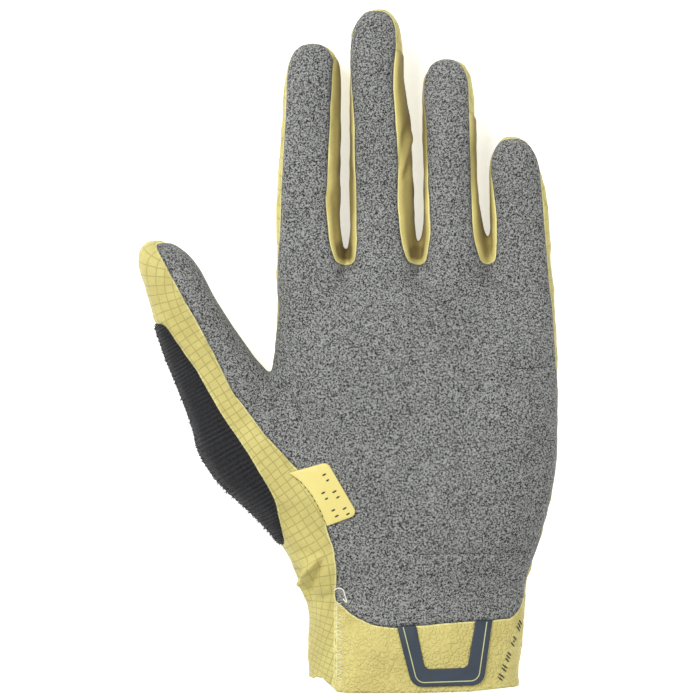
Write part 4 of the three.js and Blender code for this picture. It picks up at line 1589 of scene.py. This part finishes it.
@dataclass
class TerryFringe:
    """Short loose loops of terry along the outer edge of the thumb wipe."""

    count: int = 420
    length: float = 1.0 * MM
    radius: float = 0.13 * MM
    taper: float = 0.35
    seed: int = 7
    lean: float = 0.25
    sunk: float = 0.3
    steepness: tuple[float, float] = (-0.5, 0.45)
    outwards: float = -0.2
    lowest: float = 2 * MM

    def build(self, wipe: Piece, wardrobe: Wardrobe) -> Piece:
        """Scatters the loops over the wipe's outer border.

        Args:
            wipe: The cloth that they stand on.
            wardrobe: Where the material comes from.

        Returns:
            All the loops as one piece.
        """
        chance = np.random.default_rng(self.seed)
        low, high = self.steepness
        sides = [
            v
            for v in wipe.data.vertices
            if low < v.normal.z < high and v.normal.x < self.outwards and v.co.z > self.lowest
        ]
        work = bmesh.new()
        for k in chance.choice(len(sides), min(self.count, len(sides)), replace=False):
            vert = sides[int(k)]
            lean = Vector(chance.normal(0, self.lean, 3))
            out = (vert.normal + lean).normalized()
            turn = out.to_track_quat("Z", "Y").to_matrix().to_4x4()
            long = self.length * float(chance.uniform(0.5, 1.1))
            at = Matrix.Translation(vert.co + out * long * self.sunk)
            bmesh.ops.create_cone(
                work, segments=4, radius1=self.radius, radius2=self.radius * self.taper, depth=long,
                cap_ends=True, matrix=at @ turn,
            )
        fringe = kept_mesh(work, "terry_fringe")
        piece = add_object("terry_fringe", fringe, TERRY, wardrobe)
        fringe.uv_layers.new(name="pattern")
        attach(piece, "root")
        return piece


@dataclass
class Stage:
    """The pale floor, the soft lights and the camera over the palm."""

    camera_height: float = 4.0
    view_width: float = 700 * PIXEL
    view_middle: Pixel = (350, 350)
    focus_height: float = 0.012
    sensor: float = 36.0
    floor_half: float = 3.0
    daylight: float = 0.5

    def build(self, wardrobe: Wardrobe) -> None:
        """Adds the floor, lights and camera."""
        sheet = bmesh.new()
        bmesh.ops.create_grid(sheet, x_segments=1, y_segments=1, size=self.floor_half)
        add_object("floor", kept_mesh(sheet, "floor"), FLOOR, wardrobe)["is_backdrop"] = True
        world = bpy.data.worlds.new("studio")
        world.use_nodes = True
        sky = world.node_tree.nodes["Background"]
        sky.inputs[0].default_value = WHITE
        sky.inputs[1].default_value = self.daylight
        bpy.context.scene.world = world
        self.lamp("key", (-0.55, 0.5, 0.9), 0.5, 12.0)
        self.lamp("fill", (0.6, -0.3, 1.0), 0.9, 5.0)
        data = bpy.data.cameras.new("camera")
        data.sensor_width = self.sensor
        distance = self.camera_height - self.focus_height
        data.lens = data.sensor_width * distance / self.view_width
        data.clip_end = 20.0
        camera = bpy.data.objects.new("camera", data)
        camera.location = photo_point(*self.view_middle, self.camera_height)
        bpy.context.scene.collection.objects.link(camera)
        bpy.context.scene.camera = camera
        bpy.context.scene.view_settings.view_transform = "Standard"

    @staticmethod
    def lamp(name: str, place: tuple[float, float, float], size: float, power: float) -> None:
        """Adds a square lamp that faces the glove.

        Args:
            name: The lamp's name.
            place: Where it hangs, in metres.
            size: The length of its sides.
            power: How strong it is, in watts.
        """
        data = bpy.data.lights.new(name, "AREA")
        data.size = size
        data.energy = power
        lamp = bpy.data.objects.new(name, data)
        lamp.location = place
        lamp.rotation_euler = (-Vector(place)).to_track_quat("-Z", "Y").to_euler()
        bpy.context.scene.collection.objects.link(lamp)


def main() -> None:
    """Builds the glove from the skin outwards."""
    logging.basicConfig(level=logging.INFO, format="%(name)s: %(message)s")
    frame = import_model()
    wardrobe = Wardrobe(Effects())
    Stage().build(wardrobe)
    skin = GloveSkin()
    skin.build(frame)
    cut = (
        ClothPanel(Panel.PALM, SUEDE, "suede", 1.2 * MM, proud=0.2 * MM),
        ClothPanel(Panel.BACK, RIPSTOP, "ripstop", 1.0 * MM),
        ClothPanel(Panel.GUSSET_A, KNIT, "ripstop", 0.9 * MM),
        ClothPanel(Panel.GUSSET_B, KNIT, "ripstop", 0.9 * MM),
        ClothPanel(Panel.GUSSET_C, KNIT, "ripstop", 0.9 * MM),
        ClothPanel(Panel.THUMB, RIPSTOP, "ripstop", 1.0 * MM),
        ClothPanel(
            Panel.WIPE, TERRY, "terry", 1.4 * MM, 0.35 * MM, rib_pitch=1.45 * MM, rib_height=0.16 * MM,
        ),
        ClothPanel(Panel.CUFF, STRETCH, "stretch_cloth", 1.3 * MM),
    )
    made = {panel.panel: panel.build(skin, wardrobe) for panel in cut}
    Trims().build(Ground(skin.tree()), wardrobe)
    TerryFringe().build(made[Panel.WIPE], wardrobe)
    bpy.data.meshes.remove(skin.mesh)
    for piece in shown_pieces():
        LOG.info("%s: %d faces", piece.name, len(piece.data.polygons))


if __name__ == "__main__":
    main()
